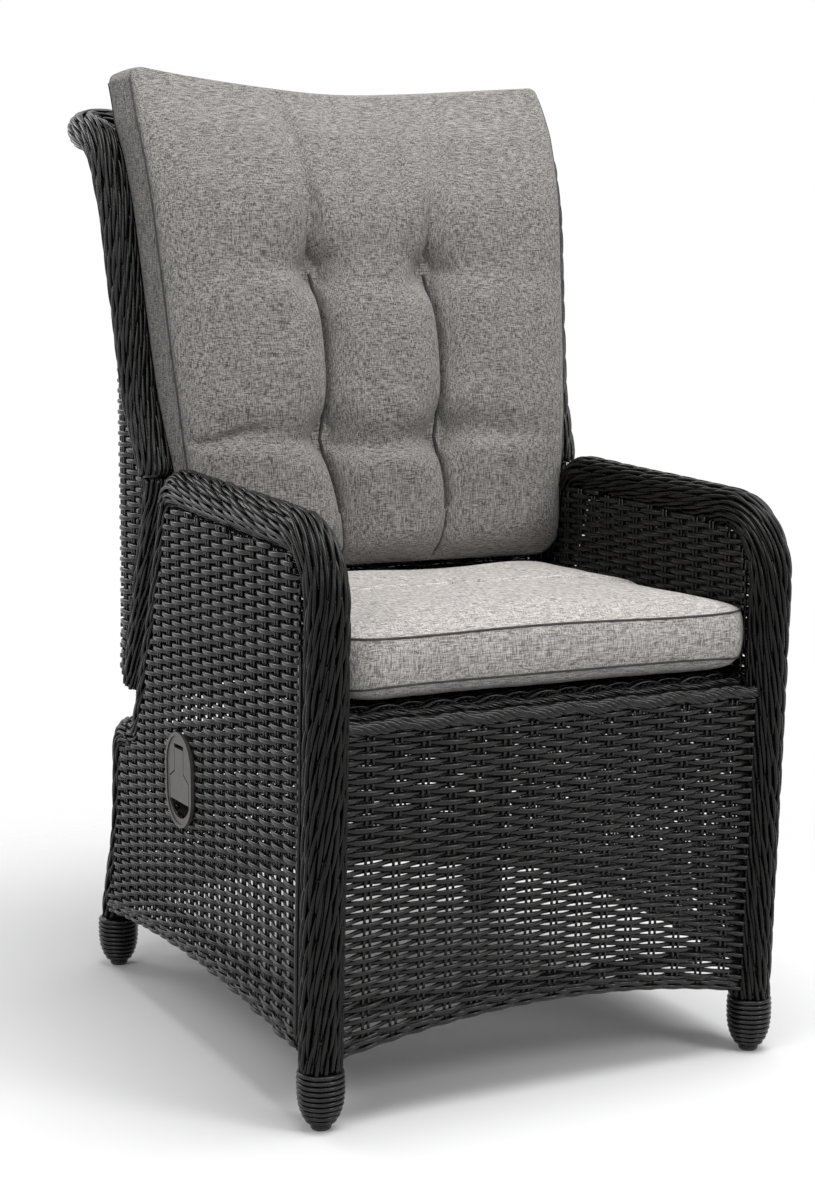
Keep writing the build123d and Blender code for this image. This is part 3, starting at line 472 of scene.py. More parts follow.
def bump(nodes, links, height, strength, distance):
    node = nodes.new("ShaderNodeBump")
    node.inputs["Strength"].default_value = strength
    node.inputs["Distance"].default_value = distance
    links.new(height, node.inputs["Height"])
    return node.outputs["Normal"]


def map_range(nodes, links, value, source=(0.0, 1.0), target=(0.0, 1.0), kind="LINEAR"):
    """A value carried from one range to another."""
    node = nodes.new("ShaderNodeMapRange")
    node.interpolation_type = kind
    for label, limits in (("From", source), ("To", target)):
        node.inputs[label + " Min"].default_value = limits[0]
        node.inputs[label + " Max"].default_value = limits[1]
    links.new(value, node.inputs["Value"])
    return node.outputs["Result"]


def larger(nodes, links, first, second):
    node = nodes.new("ShaderNodeMath")
    node.operation = "MAXIMUM"
    links.new(first, node.inputs[0])
    links.new(second, node.inputs[1])
    return node.outputs["Value"]


def blend_values(nodes, links, factor, first, second):
    mix = nodes.new("ShaderNodeMix")
    mix.clamp_factor = True
    for index, value in ((0, factor), (2, first), (3, second)):
        links.new(value, mix.inputs[index])
    return mix.outputs[0]


def wicker_material(name, dark, light, shine):
    """Dark plastic strand with faint patches and a fine grain."""
    material, nodes, links, shader = new_material(name)
    patches = noise(nodes, links, scale=45.0, detail=4.0)
    links.new(ramp(nodes, links, patches, dark, light), shader.inputs["Base Color"])
    grain = noise(nodes, links, scale=900.0, detail=2.0)
    links.new(bump(nodes, links, grain, strength=0.25, distance=0.0004), shader.inputs["Normal"])
    rough = map_range(nodes, links, noise(nodes, links, scale=120.0), target=(0.20, 0.33))
    links.new(rough, shader.inputs["Roughness"])
    shader.inputs["Specular IOR Level"].default_value = shine
    return material


def plain_material(name, dark, light, roughness, metallic=0.0, grain=700.0, depth=0.0002):
    """Paint, plastic or metal with a faint grain."""
    material, nodes, links, shader = new_material(name)
    patches = noise(nodes, links, scale=60.0)
    links.new(ramp(nodes, links, patches, dark, light), shader.inputs["Base Color"])
    height = noise(nodes, links, grain, detail=2.0)
    links.new(bump(nodes, links, height, strength=0.3, distance=depth), shader.inputs["Normal"])
    shader.inputs["Roughness"].default_value = roughness
    shader.inputs["Metallic"].default_value = metallic
    return material


def fabric_material(name, dark, light, thread_long=90, thread_fine=980):
    """Coarse melange cloth: on each face, threads of several greys along its two axes."""
    material, nodes, links, shader = new_material(name)
    place = nodes.new("ShaderNodeTexCoord")
    square = nodes.new("ShaderNodeVectorMath")
    square.operation = "MULTIPLY"
    links.new(place.outputs["Normal"], square.inputs[0])
    links.new(place.outputs["Normal"], square.inputs[1])
    facing = nodes.new("ShaderNodeSeparateXYZ")
    links.new(square.outputs["Vector"], facing.inputs[0])
    along_x, along_y, along_z = (
        noise(nodes, links, 1.0, 1.0, [thread_long if k == axis else thread_fine for k in range(3)])
        for axis in range(3))
    weft = blend_values(nodes, links, facing.outputs["X"], along_x, along_y)
    warp = blend_values(nodes, links, facing.outputs["Z"], along_z, along_y)
    crossing = map_range(nodes, links, noise(nodes, links, scale=420.0, detail=0.0), (0.15, 0.85))
    level = blend_values(nodes, links, crossing, weft, warp)
    melange = ramp(nodes, links, level, dark, light, low=0.385, high=0.615)
    links.new(melange, shader.inputs["Base Color"])
    links.new(bump(nodes, links, level, strength=0.8, distance=0.0009), shader.inputs["Normal"])
    shader.inputs["Roughness"].default_value = 0.95
    shader.inputs["Sheen Weight"].default_value = 0.10
    shader.inputs["Sheen Roughness"].default_value = 0.5
    shader.inputs["Specular IOR Level"].default_value = 0.2
    return material


def grey(tone):
    return (tone, tone, tone)


# The wraps of the side frames are duller than the weave, and darker in colour: that darker colour
# is painted shade on the same wicker
wicker = wicker_material("wicker", (0.0030, 0.0031, 0.0029), (0.0115, 0.0117, 0.0109), shine=0.33)
shaded_wrap_wicker = wicker_material("shaded_wrap_wicker", (0.0024, 0.0025, 0.0023), (0.0090, 0.0092, 0.0085),
                              shine=0.20)
# The same cloth; the backrest's copy is a tone darker, and that darker tone is painted shade
seat_fabric = fabric_material("seat_fabric", (0.18, 0.171, 0.163), (0.67, 0.636, 0.607))
shaded_back_fabric = fabric_material("shaded_back_fabric", (0.078, 0.074, 0.070), (0.37, 0.351, 0.335))
# Near-black cord colour for the seams and stitches: painted shade of the seam and crease lines
seam_shade_thread = plain_material("seam_thread_painted_shade", (0.03, 0.029, 0.028), (0.07, 0.067, 0.065), 0.9)
slot_materials = {
    "frame": plain_material("frame_paint", (0.030, 0.030, 0.032), (0.045, 0.045, 0.048), 0.55),
    "steel": plain_material("zinc_steel", (0.38, 0.38, 0.39), (0.55, 0.55, 0.56), 0.38, 1.0),
    "glide": plain_material("glide_plastic", grey(0.015), grey(0.03), 0.6),
    "bush": plain_material("bush_plastic", grey(0.05), grey(0.08), 0.5),
    "spring_body": plain_material("spring_paint", grey(0.012), grey(0.02), 0.25),
    "chrome_rod": plain_material("chrome_rod", (0.62, 0.62, 0.64), (0.72, 0.72, 0.74), 0.08, 1.0),
    "handle": plain_material("handle_plastic", (0.050, 0.046, 0.043), (0.070, 0.065, 0.060), 0.42,
                             grain=1600.0, depth=0.0001),
    "cable_sheath": plain_material("cable_sheath", grey(0.012), grey(0.02), 0.45),
    "wicker": wicker,
    "cushion": seat_fabric,
}

node_slots = {entry["node"]: entry["material_slot"] for entry in frame["record"]["subparts"]}
for name, node in frame["nodes"].items():
    node.data.materials.clear()
    node.data.materials.append(slot_materials[node_slots[name]])


# Wound tubes

def at_distances(lengths, values, distance):
    """Rows of values read at distances along a line."""
    return np.stack([np.interp(distance, lengths, values[:, k]) for k in range(3)], 1)


def wind(name, line, normal, radius, body, hand, replaced):
    """Wrap of a tube: long strands in columns that slant one way and dive at their ends."""
    normals, sides = frames_along(line, normal)
    lengths = distances(line)
    columns = int(round(2 * math.pi * radius / braid_column))
    strands = Strands()
    share = np.linspace(0, 1, braid_points)
    for column in range(columns):
        start = -braid_length * rng.uniform(*braid_start) - braid_pitch * column * braid_stagger
        while start < lengths[-1]:
            distance = start + braid_length * share * rng.uniform(*braid_stretch)
            slant = braid_sweep / radius * rng.uniform(*braid_slant)
            start += braid_pitch * rng.uniform(*braid_gap)
            inside = (distance >= 0) & (distance <= lengths[-1])
            if inside.sum() < 3:
                continue
            part = share[inside]
            distance = distance[inside]
            middle = 2 * math.pi * (column + rng.uniform(*braid_shift)) / columns
            turn = middle + hand * slant * (part - 0.5)
            arch = np.sin(part * math.pi)
            sink = braid_sink * (1 - arch)**braid_sink_power
            out = radius - braid_thick / 2 - sink - braid_jitter * rng.rand()
            centre = at_distances(lengths, line, distance)
            away = unit(np.cos(turn)[:, None] * at_distances(lengths, normals, distance)
                        + np.sin(turn)[:, None] * at_distances(lengths, sides, distance))
            width = braid_width * (braid_end_width + (1 - braid_end_width) * arch)
            strands.add(centre + away * out[:, None], away, width, braid_thick)
    strands.sides = braid_core_sides
    core = 2 * (radius - braid_core)
    strands.add(line, normals, core, core)
    # Wraps of the base take the darker wicker copy, whose colour is painted shade
    strands.build(name, shaded_wrap_wicker if body == "base" else wicker, body, replaced)


side_corners = [(front_foot[0], foot_top_z), front_foot, knee, arm_end, post_mid, post_foot,
                shoulder, rear_mid, rear_kink, (rear_kink[0], foot_top_z)]
side_radii = [leg_bend_r, knee_bend_r, arm_bend_r, post_bend_r, post_foot_bend_r, shoulder_bend_r,
              leg_bend_r, rear_kink_r]
side_line = rounded_line(side_corners, side_radii)
arm_cut = nearest(side_line, arm_end) + arm_cut_steps
shoulder_cut = nearest(side_line, post_foot) + shoulder_cut_steps
side_runs = {
    "arm_braid": (side_line[:arm_cut], leg_wrap_r, (0, -1, 0)),
    "post_wrap": (side_line[arm_cut - 1:shoulder_cut], post_wrap_r, (0, 1, 0)),
    "rear_leg_wrap": (side_line[shoulder_cut - 1:], rear_wrap_r, (0, 0, 1)),
}
for name, (run, radius, normal) in side_runs.items():
    for hand, sign in hands:
        wind(name + "_strands_" + hand, in_side_plane(run, sign * side_x), normal, radius, "base",
             -sign, name + "_" + hand)

back_left, back_right = (
    [(sign * x, y + front_y, z) for x, y, z in back_corners] for hand, sign in hands)
back_line = rounded_line(back_left + back_right[::-1], back_radii + back_radii[::-1])
elbow = nearest(back_line, back_left[1])
wind("back_loop_strands", back_line[elbow:len(back_line) - elbow], (-1, 0, 0), back_wrap_r,
     "backrest", 1, "back_braid")
for (hand, sign), run in zip(hands, (back_line[:elbow + 1], back_line[-elbow - 1:])):
    wind("back_low_strands_" + hand, run, (sign, 0, 0), back_low_wrap_r, "backrest", -sign,
         "back_low_wrap_" + hand)


# Twisted rims

def rope(name, line, radius, body, replaced):
    """Strands twisted round a core, in bundles that rise and dive along the line."""
    line = along(line, line_step)
    normals, sides = frames_along(line, (0, 0, 1))
    lengths = distances(line)
    strands = Strands()
    width = 2 * math.pi * radius / rope_strands * rope_fill
    for index in range(rope_strands):
        turn = 2 * math.pi * (lengths / rope_pitch + index / rope_strands)
        away = normals * np.cos(turn)[:, None] + sides * np.sin(turn)[:, None]
        bundle = index * rope_bundles // rope_strands / rope_bundles
        dive = rope_dive * (1 + np.sin(2 * math.pi * (lengths / rope_bundle + bundle)))
        out = radius - width / rope_sit - dive
        strands.add(line + away * out[:, None], away, width, width * cord_flat)
    strands.add(line, normals, radius, radius)
    strands.build(name, wicker, body, replaced)


def box_line(node, longer=0.0):
    """Middle line of a node's box, from its left end to its right end."""
    low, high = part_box(node)
    middle = (low + high) / 2
    return np.array([(low.x - longer, middle.y, middle.z), (high.x + longer, middle.y, middle.z)])


rope("front_rim_rope", box_line("front_rim", weave_tuck), front_rim_r, "base", "front_rim")
rope("rear_rim_rope", box_line("rear_rim"), rim_r, "base", "rear_rim")
rope("back_low_rope", box_line("back_low_rim"), rim_r, "backrest", "back_low_rim")


# Woven panels

def crossings(outline, v):
    """Pairs of u where the level v enters and leaves a closed outline."""
    found = []
    for (u0, v0), (u1, v1) in zip(outline, np.roll(outline, -1, axis=0)):
        if (v0 <= v) != (v1 <= v):
            found.append(u0 + (u1 - u0) * (v - v0) / (v1 - v0))
    found.sort()
    return list(zip(found[::2], found[1::2]))


def without_hole(spans, middle, half):
    """Spans with the stretch from middle - half to middle + half taken out."""
    kept = []
    for low, high in spans:
        if half <= 0 or high < middle - half or low > middle + half:
            kept.append((low, high))
        else:
            kept += [(low, middle - half), (middle + half, high)]
    return [(low, high) for low, high in kept if high - low > stake_apart]


def hole_half(hole, level, upright):
    """Half width of an upright oval at one level, or half height at one place across."""
    if hole is None:
        return 0
    (u, v), (half_u, half_v) = hole
    straight = half_v - half_u
    if upright:
        over = max(0, abs(level - v) - straight)
        return math.sqrt(max(0, half_u**2 - over**2))
    off = abs(level - u)
    return straight + math.sqrt(half_u**2 - off**2) if off < half_u else 0


def weave(name, outline, place, body, replaced, hole=None, first_stake=0.0, hemmed=False,
          full_width=strand_width):
    """Rows that pass over and under pairs of stakes, inside an outline in (u, v).

    place turns arrays of u and v into points and outward directions. A hemmed panel has
    narrower rows low down, and cords along its lower edge.
    """
    outline = np.asarray(outline, float)
    low_u, low_v = outline.min(axis=0)
    high_u, high_v = outline.max(axis=0)
    hole_u, hole_v = hole[0] if hole else (0, 0)
    strands = Strands()
    row_count = int((high_v - low_v) / row_pitch)
    for row in range(row_count):
        v = low_v + (row + 0.5) * (high_v - low_v) / row_count
        opened = open_share * np.clip((open_below_z - v) / open_fade, 0, 1) if hemmed else 0.0
        for start, end in without_hole(crossings(outline, v), hole_u, hole_half(hole, v, True)):
            u = np.linspace(start, end, max(3, int((end - start) / row_step)))
            level = v + row_wobble * np.sin(u * 90 + rng.uniform(0, 6))
            points, away = place(u, level)
            wave = np.cos(math.pi * ((u - first_stake) / stake_pitch + row))
            lift = weave_wave * np.sign(wave) * np.abs(wave)**weave_wave_power
            width = full_width * (1 - opened) * rng.normal(1, strand_spread)
            strands.add(points + away * lift[:, None], away, width, strand_thick)
    swapped = outline[:, ::-1]
    if hemmed:
        across = np.linspace(low_u + hem_margin, high_u - hem_margin, hem_points)
        lowest = np.array([crossings(swapped, u)[0][0] for u in across])
        for row in range(hem_rows):
            points, away = place(across, lowest + hem_pitch * (row + 0.4))
            lift = hem_wave * np.cos(math.pi * (across / stake_pitch * 2 + row))
            strands.add(points + away * lift[:, None], away, hem_width, hem_width * cord_flat)
    first = math.ceil((low_u - first_stake) / stake_pitch)
    last = math.floor((high_u - first_stake) / stake_pitch)
    for index in range(first, last + 1):
        for side in (-1, 1):
            u = first_stake + index * stake_pitch + side * stake_apart / 2
            half = hole_half(hole, u, False)
            for start, end in without_hole(crossings(swapped, u), hole_v, half):
                count = max(3, int((end - start) / stake_step))
                v = np.linspace(start + hem_pitch if hemmed else start, end, count)
                points, away = place(np.full(count, u), v)
                strands.add(points, away, stake_width, stake_thick)
    strands.build(name, wicker, body, replaced)


def skirt_place(low, bend, high, depth, half, arch):
    """Skirt between two legs that follows their lean and an arched hem."""
    def place(u, v):
        lift = arch * (1 - (u / half)**2)
        z = v + lift * np.clip(1 - (v - hem_corner_z) / skirt_arch_reach, 0, 1)
        y = np.where(z > bend[1], line_at(z, bend, high), line_at(z, low, bend)) + depth + front_y
        return np.stack([u, y, z], 1), all_facing([0.0, math.copysign(1.0, depth), 0.0], u)
    return place


side_middle = (front_foot[0] + rear_kink[0]) / 2
side_half = (rear_kink[0] - front_foot[0]) / 2


def side_place(x, facing, arch=0.0):
    """Flat panel at one x that faces left (-1) or right (1), with an arched hem."""
    def place(u, v):
        lift = arch * np.clip(1 - ((u - side_middle) / side_half)**2, 0, 1)
        z = v + lift * np.clip(1 - (v - hem_corner_z) / side_arch_reach, 0, 1)
        return np.stack([np.full(len(u), x), u + front_y, z], 1), all_facing([facing, 0.0, 0.0], u)
    return place


def flat_place(z):
    """Level panel at one z that faces up."""
    def place(u, v):
        return np.stack([u, v, np.full(len(u), z)], 1), all_facing([0.0, 0.0, 1.0], u)
    return place


def skin_place(line, facing):
    """Skin straight across X that follows a (y, z) line; v runs along it."""
    lengths = distances(line)
    tangent = unit(np.gradient(line, axis=0))

    def place(u, v):
        y, z = (np.interp(v, lengths, line[:, k]) for k in range(2))
        ty, tz = (np.interp(v, lengths, tangent[:, k]) for k in range(2))
        away = unit(np.stack([np.zeros(len(u)), -tz * facing, ty * facing], 1))
        return np.stack([u, y + front_y, z], 1), away
    return place, lengths


def inset(line, distance):
    """A (y, z) line moved to its right by a distance."""
    step = unit(np.gradient(line, axis=0))
    return line + np.stack([step[:, 1], -step[:, 0]], 1) * distance


def both_sides(widths):
    """Closed outline from (half width, v) pairs, lowest first."""
    return widths + [(-u, v) for u, v in widths[::-1]]


hem_arch = hem_middle_z - hem_corner_z
skirt_half = side_x - leg_wrap_r
weave_half = skirt_half + weave_tuck
rear_half = side_x - rear_wrap_r
weave("front_weave", oblong(-weave_half, hem_corner_z, weave_half, seat_rail_z),
      skirt_place(front_foot, front_foot, knee, -skirt_depth, skirt_half, hem_arch),
      "base", "front_panel", hemmed=True)
weave("rear_weave", oblong(-rear_half, hem_corner_z, rear_half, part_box("rear_panel")[1].z),
      skirt_place(rear_kink, rear_mid, shoulder, skirt_depth, rear_half, hem_arch),
      "base", "rear_panel", hemmed=True)

side_outline = inset(side_line, side_weave_inset)
side_outline = side_outline[side_outline[:, 1] > hem_corner_z]
side_holes = {"left": (handle_centre, handle_half), "right": None}
for hand, sign in hands:
    weave("side_weave_" + hand, side_outline,
          side_place(sign * side_weave_x, sign, side_hem_middle_z - hem_corner_z),
          "base", "side_panel_" + hand, hole=side_holes[hand], hemmed=True)

arm_line = rounded_line([(line_at(seat_rail_z, front_foot, knee), seat_rail_z), knee, arm_end,
                         post_mid, (line_at(seat_rail_z, post_foot, post_mid), seat_rail_z)],
                        [knee_bend_r, arm_bend_r, post_bend_r])
arm_outline = inset(arm_line, arm_weave_inset)
arm_outline = arm_outline[arm_outline[:, 1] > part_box("arm_inner_left")[0].z]
for hand, sign in hands:
    weave("arm_weave_" + hand, arm_outline, side_place(sign * arm_weave_x, -sign),
          "base", "arm_inner_" + hand)

deck_low, deck_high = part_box("seat_deck")
deck_edge = np.array([(x, deck_low.y - rim_r, deck_low.z - strand_thick / 2)
                      for x in (deck_low.x, deck_high.x)])
rope("deck_edge_rope", deck_edge, rim_r, "base", "seat_deck")
weave("deck_weave", oblong(deck_low.x, deck_low.y, deck_high.x, deck_high.y),
      flat_place((deck_low.z + deck_high.z) / 2), "base", "seat_deck", full_width=deck_strand_width)

rear_line = rounded_line(rear_skin, rear_skin_radii)
place, lengths = skin_place(rear_line, -1)
rear_widths = [(half, np.interp(z, rear_line[:, 1], lengths)) for z, half in rear_skin_halves]
rear_outline = both_sides([(cheek_x, 0)] + rear_widths + [(rear_skin_top_half, lengths[-1])])
weave("back_rear_weave", rear_outline, place, "backrest", "back_rear_skin")

back_top = back_corners[5]
front_points = [corner[1:] for corner in back_corners[:5]]
front_points.append((back_top[1] - back_wrap_r, back_top[2]))
front_line = rounded_line(front_points, back_radii[:4])
front_line = front_line[front_line[:, 1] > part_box("back_front_skin")[0].z]
place, lengths = skin_place(front_line, 1)
front_widths = []
for x, y, z in back_corners[:5]:
    margin = back_low_wrap_r if z < back_corners[1][2] else back_wrap_r
    front_widths.append((x - margin, lengths[nearest(front_line, (y, z))]))
front_widths.append((back_top[0] - back_wrap_r, lengths[-1]))
weave("back_front_weave", both_sides(front_widths), place, "backrest", "back_front_skin")


def between_cheek_ends(line):
    return line[(line[:, 1] > cheek_low_z) & (line[:, 1] < cheek_top_z)]


back_side = back_line[:len(back_line) // 2, 1:] - np.array([front_y, 0])
cheek_outline = np.concatenate([between_cheek_ends(back_side) + np.array([cheek_front_in, 0]),
                                between_cheek_ends(rear_line)[::-1] - np.array([cheek_rear_in, 0])])
for hand, sign in hands:
    weave("cheek_weave_" + hand, cheek_outline, side_place(sign * cheek_x, sign),
          "backrest", "back_cheek_" + hand, first_stake=cheek_first_stake)


# Feet

def ringed_feet():
    """Cord wound in rings on the tapered feet, over a core."""
    profile = np.array(foot_profile)
    heights = np.linspace(profile[0, 1], profile[-1, 1], foot_rings)
    radii = np.interp(heights, profile[::-1, 1], profile[::-1, 0])
    cord_r = (profile[0, 1] - profile[-1, 1]) / foot_rings / 2 * foot_cord_fill
    strands = Strands(cord_sides)
    turn = np.linspace(0, 2 * math.pi, foot_ring_points)
    around = np.stack([np.cos(turn), np.sin(turn), np.zeros(len(turn))], 1)
    for x in (-side_x, side_x):
        for y in (front_foot[0], rear_kink[0]):
            middle = np.array([x, y + front_y, 0])
            for height, radius in zip(heights, radii):
                ring = middle + around * (radius - cord_r) + np.array([0, 0, height - cord_r / 2])
                strands.add(ring, around, cord_r * foot_cord_width, cord_r * foot_cord_thick, True)
            spine = middle + heights[:, None] * np.array([0, 0, 1])
            size = 2 * (radii - cord_r * foot_core_in)
            strands.add(spine, all_facing(to_front, spine), size, size)
    strands.build("foot_rings", wicker, "base", "foot_wraps")


ringed_feet()


# Cushions

def padded_piece(points, faces, name, material, body, replaced):
    mesh = bpy.data.meshes.new(name)
    mesh.from_pydata(points.tolist(), [], faces)
    work = bmesh.new()
    work.from_mesh(mesh)
    bmesh.ops.remove_doubles(work, verts=work.verts, dist=weld_distance)
    bmesh.ops.recalc_face_normals(work, faces=work.faces)
    work.to_mesh(mesh)
    work.free()
    finish_piece(mesh, name, material, body, replaced)


def piping(name, line, normal, body, width=piping_width):
    """Sewn edge: a thin cord along a seam. Its near-black colour is painted shade of the seam line.
    """
    strands = Strands(cord_sides)
    strands.add(line, normal, width, width)
    strands.build(name, seam_shade_thread, body)


def box_patches(place, across, up, deep):
    """Grid of each side of a unit box, placed by a function of (u, t, w)."""
    points = []
    faces = []
    start = 0
    sides = [(0, across, up, 2, 0.0), (0, across, up, 2, 1.0), (2, deep, up, 0, 0.0),
             (2, deep, up, 0, 1.0), (0, across, deep, 1, 0.0), (0, across, deep, 1, 1.0)]
    for first_axis, first, second, fixed_axis, value in sides:
        a, b = np.meshgrid(first, second)
        inputs = {first_axis: a.ravel(), 3 - first_axis - fixed_axis: b.ravel(),
                  fixed_axis: np.full(a.size, value)}
        points.append(place(*(inputs[axis] for axis in range(3))))
        rows, columns = a.shape
        index = np.arange(rows * columns).reshape(rows, columns) + start
        quads = np.stack([index[:-1, :-1], index[:-1, 1:], index[1:, 1:], index[1:, :-1]], -1)
        faces += quads.reshape(-1, 4).tolist()
        start += rows * columns
    return np.concatenate(points), faces


def round_valley(distance, width):
    """1 in the crease, 0 past the width, steep like two filled columns that meet."""
    reach = 1 - np.clip(np.abs(distance) / width, 0, 1)
    return 1 - np.sqrt(np.clip(1 - reach**2, 0, 1))


def soft_valley(distance, width):
    """1 at no distance, with soft shoulders."""
    return np.exp(-(distance / width)**2)


def rise(share):
    """0 to 1, steep at first. Its square root is a quarter circle."""
    return 1 - (1 - share)**2


def smoothed(values, reach):
    """Values on an even grid, averaged over a reach to each side, ends kept."""
    weights = np.hanning(2 * reach + 3)[1:-1]
    line = np.linspace(values[0], values[-1], len(values))
    wide = np.pad(values - line, reach, mode="reflect", reflect_type="odd")
    return line + np.convolve(wide, weights / weights.sum(), mode="valid")


def eased(count, power):
    """Shares from 0 to 1, closer together at both ends."""
    share = np.linspace(0, 1, count)
    return share - power * np.sin(2 * math.pi * share) / (2 * math.pi)


rest_corners = np.array([corner[1:] for corner in back_corners[:5]])


def backrest_y(z):
    """The y of the backrest's frame at height z, carried straight on above the neck."""
    low, high = rest_corners[-2], rest_corners[-1]
    on_frame = np.interp(z, rest_corners[:, 1], rest_corners[:, 0])
    return np.where(z > high[1], line_at(z, low, high), on_frame)


pad_height = pad_high_z - pad_low_z
pad_rows = np.array(back_pad_shares)
row_heights = pad_low_z + pad_height * pad_rows[:, 0]
row_seams = backrest_y(row_heights) - pad_depth * (1 - pad_rows[:, 2])
seam_heights = np.linspace(pad_low_z, pad_high_z, seam_points)
seam_line = smoothed(np.interp(seam_heights, row_heights, row_seams), seam_reach)


def back_pad_rows(t):
    """Half width, front seam y, rear y and crown at a share of the cushion's height."""
    width = np.interp(t, pad_rows[:, 0], pad_rows[:, 1])
    crown = np.interp(t, pad_rows[:, 0], pad_rows[:, 3])
    z = pad_low_z + pad_height * t
    half = pad_low_half + (pad_high_half - pad_low_half) * width
    end = np.clip(1 - t * pad_height / pad_corner_r, 0, 1)
    half = half - pad_corner_r * (1 - np.sqrt(1 - end**2))
    seam_y = np.interp(z, seam_heights, seam_line)
    skin_y = np.interp(z, front_line[:, 1], front_line[:, 0]) - skin_clear
    rear_y = seam_y + pad_depth
    rear_y = np.where(z < rest_corners[-1, 1], np.minimum(rear_y, skin_y), rear_y)
    return half, seam_y, rear_y, crown


def share_below(z):
    """0 from the lower tufts up, 1 at the cushion's lower edge."""
    return np.clip((tuft_low_z - z) / (tuft_low_z - pad_low_z), 0, 1)


def crease_x(z, side):
    """The x of a sewn crease: nearly upright, bowed to the right between its tufts."""
    middle, half_span = (tuft_high_z + tuft_low_z) / 2, (tuft_high_z - tuft_low_z) / 2
    bow = crease_bow * np.clip(1 - ((z - middle) / half_span)**2, 0, 1)
    below = share_below(z)
    return tuft_x[side] + bow + crease_drift[side] * below + low_bow[side] * np.sin(math.pi * below)


def tuft_pull(x, z, side, tuft_z):
    """How far one tuft and the puckers round it draw the cloth in."""
    reach = np.hypot(x - tuft_x[side], (z - tuft_z) * 1.1)
    turn = np.arctan2(z - tuft_z, x - tuft_x[side])
    pucker = np.cos(turn * pucker_count + side + tuft_z * 9) * reach / 0.03
    pucker = pucker * np.exp(-(reach / pucker_reach)**1.5)
    return tuft_extra * np.exp(-(reach / tuft_reach)**1.3) - pucker_height * pucker


def pad_relief(x, z, half, crown):
    """How far the front of the back cushion swells out from its seam."""
    edge = np.clip(1 - np.abs(x / half)**2.4, 0, 1)**0.5
    low_edge = rise(np.clip((z - pad_low_z) / pad_low_round, 0, 1))**0.5
    high_edge = rise(np.clip((pad_high_z - z) / pad_high_round, 0, 1))**0.7
    swell = pad_crown * crown
    above = np.clip((z - tuft_high_z) / crease_fade, 0, 1)
    strength = np.where(z > tuft_high_z, (1 - above)**2.2, 1 - crease_low_loss * share_below(z))
    near = np.minimum(np.abs(z - tuft_high_z), np.abs(z - tuft_low_z))
    hold = crease_hold + (1 - crease_hold) * soft_valley(near, crease_hold_reach)
    for side in (-1, 1):
        off = x - crease_x(np.minimum(z, tuft_high_z), side) - side * crease_spread * above
        valley = round_valley(off, crease_width - crease_narrowing * above)
        swell = swell - crease_depth * hold * strength * valley
        swell = swell - stitch_depth * soft_valley(off, stitch_reach) * (strength > 0.8)
        for tuft_z in (tuft_high_z, tuft_low_z):
            swell = swell - tuft_pull(x, z, side, tuft_z)
    across = np.abs(x) / tuft_x[1]
    for tuft_z, depth, width in cross_creases:
        dip = cross_dip * np.cos(x / tuft_x[1] * math.pi / 2)
        valley = soft_valley(z - tuft_z + dip, width * np.where(z > tuft_z, 1.25, 0.75))
        fade = np.where(across < 1, 1.0, np.clip(1.25 - 0.25 * across, 0, 1))
        swell = swell - depth * fade * valley
    fold_z = tuft_low_z + side_fold_rise - side_fold_wave * np.sin(x * 45)
    fade = np.clip((tuft_x[-1] - side_fold_gap - x) / side_fold_fade, 0, 1)
    swell = swell - side_fold_depth * soft_valley(z - fold_z, side_fold_width) * fade
    for start, lean, width, depth in top_folds:
        fold = soft_valley(x - start - lean * (z - tuft_high_z), width)
        swell = swell - depth * fold * np.clip((z - tuft_high_z) / top_fold_fade, 0, 1)
    wave = np.sin(x * 61 + 3 * np.sin(z * 17)) * np.sin(z * 43 + 2 * np.sin(x * 23))
    return np.maximum((swell + pad_wave * wave) * edge * low_edge * high_edge, pad_least_swell)


def back_pad_place(u, t, w):
    """Point of the back cushion: u across, t up, w from the front to the rear."""
    half, seam_y, rear_y, crown = back_pad_rows(t)
    middle = u * 2 - 1
    z = pad_low_z + (pad_height - pad_dip * (1 - np.abs(middle)**1.8) * t**3) * t
    first, second = 0.5 - 0.5 / 3, 0.5 + 0.5 / 3
    left, right = crease_x(z, -1), crease_x(z, 1)
    low = -half + (left + half) * u / first
    mid = left + (right - left) * (u - first) / (second - first)
    high = right + (half - right) * (u - second) / (1 - second)
    x = np.where(u < first, low, np.where(u > second, high, mid))
    y = seam_y + (rear_y - seam_y) * w
    y = y - np.where(w == 0, pad_relief(x, z, half, crown), 0)
    swell = np.sin(math.pi * w)
    side_puff = pad_bulge * swell * np.clip(t / pad_bulge_fade, 0, 1)
    x = x * (1 + pad_flare / half * w)
    x = x + np.sign(middle) * np.where((u == 0) | (u == 1), side_puff, 0)
    top_puff = np.where(t == 1, pad_top_puff * swell * (1 - np.abs(middle)**6), 0)
    corner = np.clip(1 - (1 - np.abs(middle)) * half / pad_ear_r, 0, 1)
    ear = pad_ear_r * (1 - np.sqrt(1 - corner**2)) * t**12
    return np.stack([x, y + front_y, z + top_puff - ear], 1)


outer, inner = eased(*outer_column), eased(*inner_column)
thirds = np.concatenate([outer / 3, (1 + inner[1:]) / 3, (2 + outer[1:]) / 3])
heights = np.linspace(0, 1, pad_points_up)
points, faces = box_patches(back_pad_place, thirds, heights, np.linspace(0, 1, pad_points_deep))
# The back cushion takes the darker copy of the cloth, painted shade
padded_piece(points, faces, "back_pad", shaded_back_fabric, "backrest", "back_cushion")
for name, u in (("left", 0.0), ("right", 1.0)):
    for part, w in (("front", 0.0), ("rear", 1.0)):
        line = back_pad_place(np.full(len(heights), u), heights, np.full(len(heights), w))
        piping("back_pad_seam_" + name + "_" + part, line, to_front, "backrest")
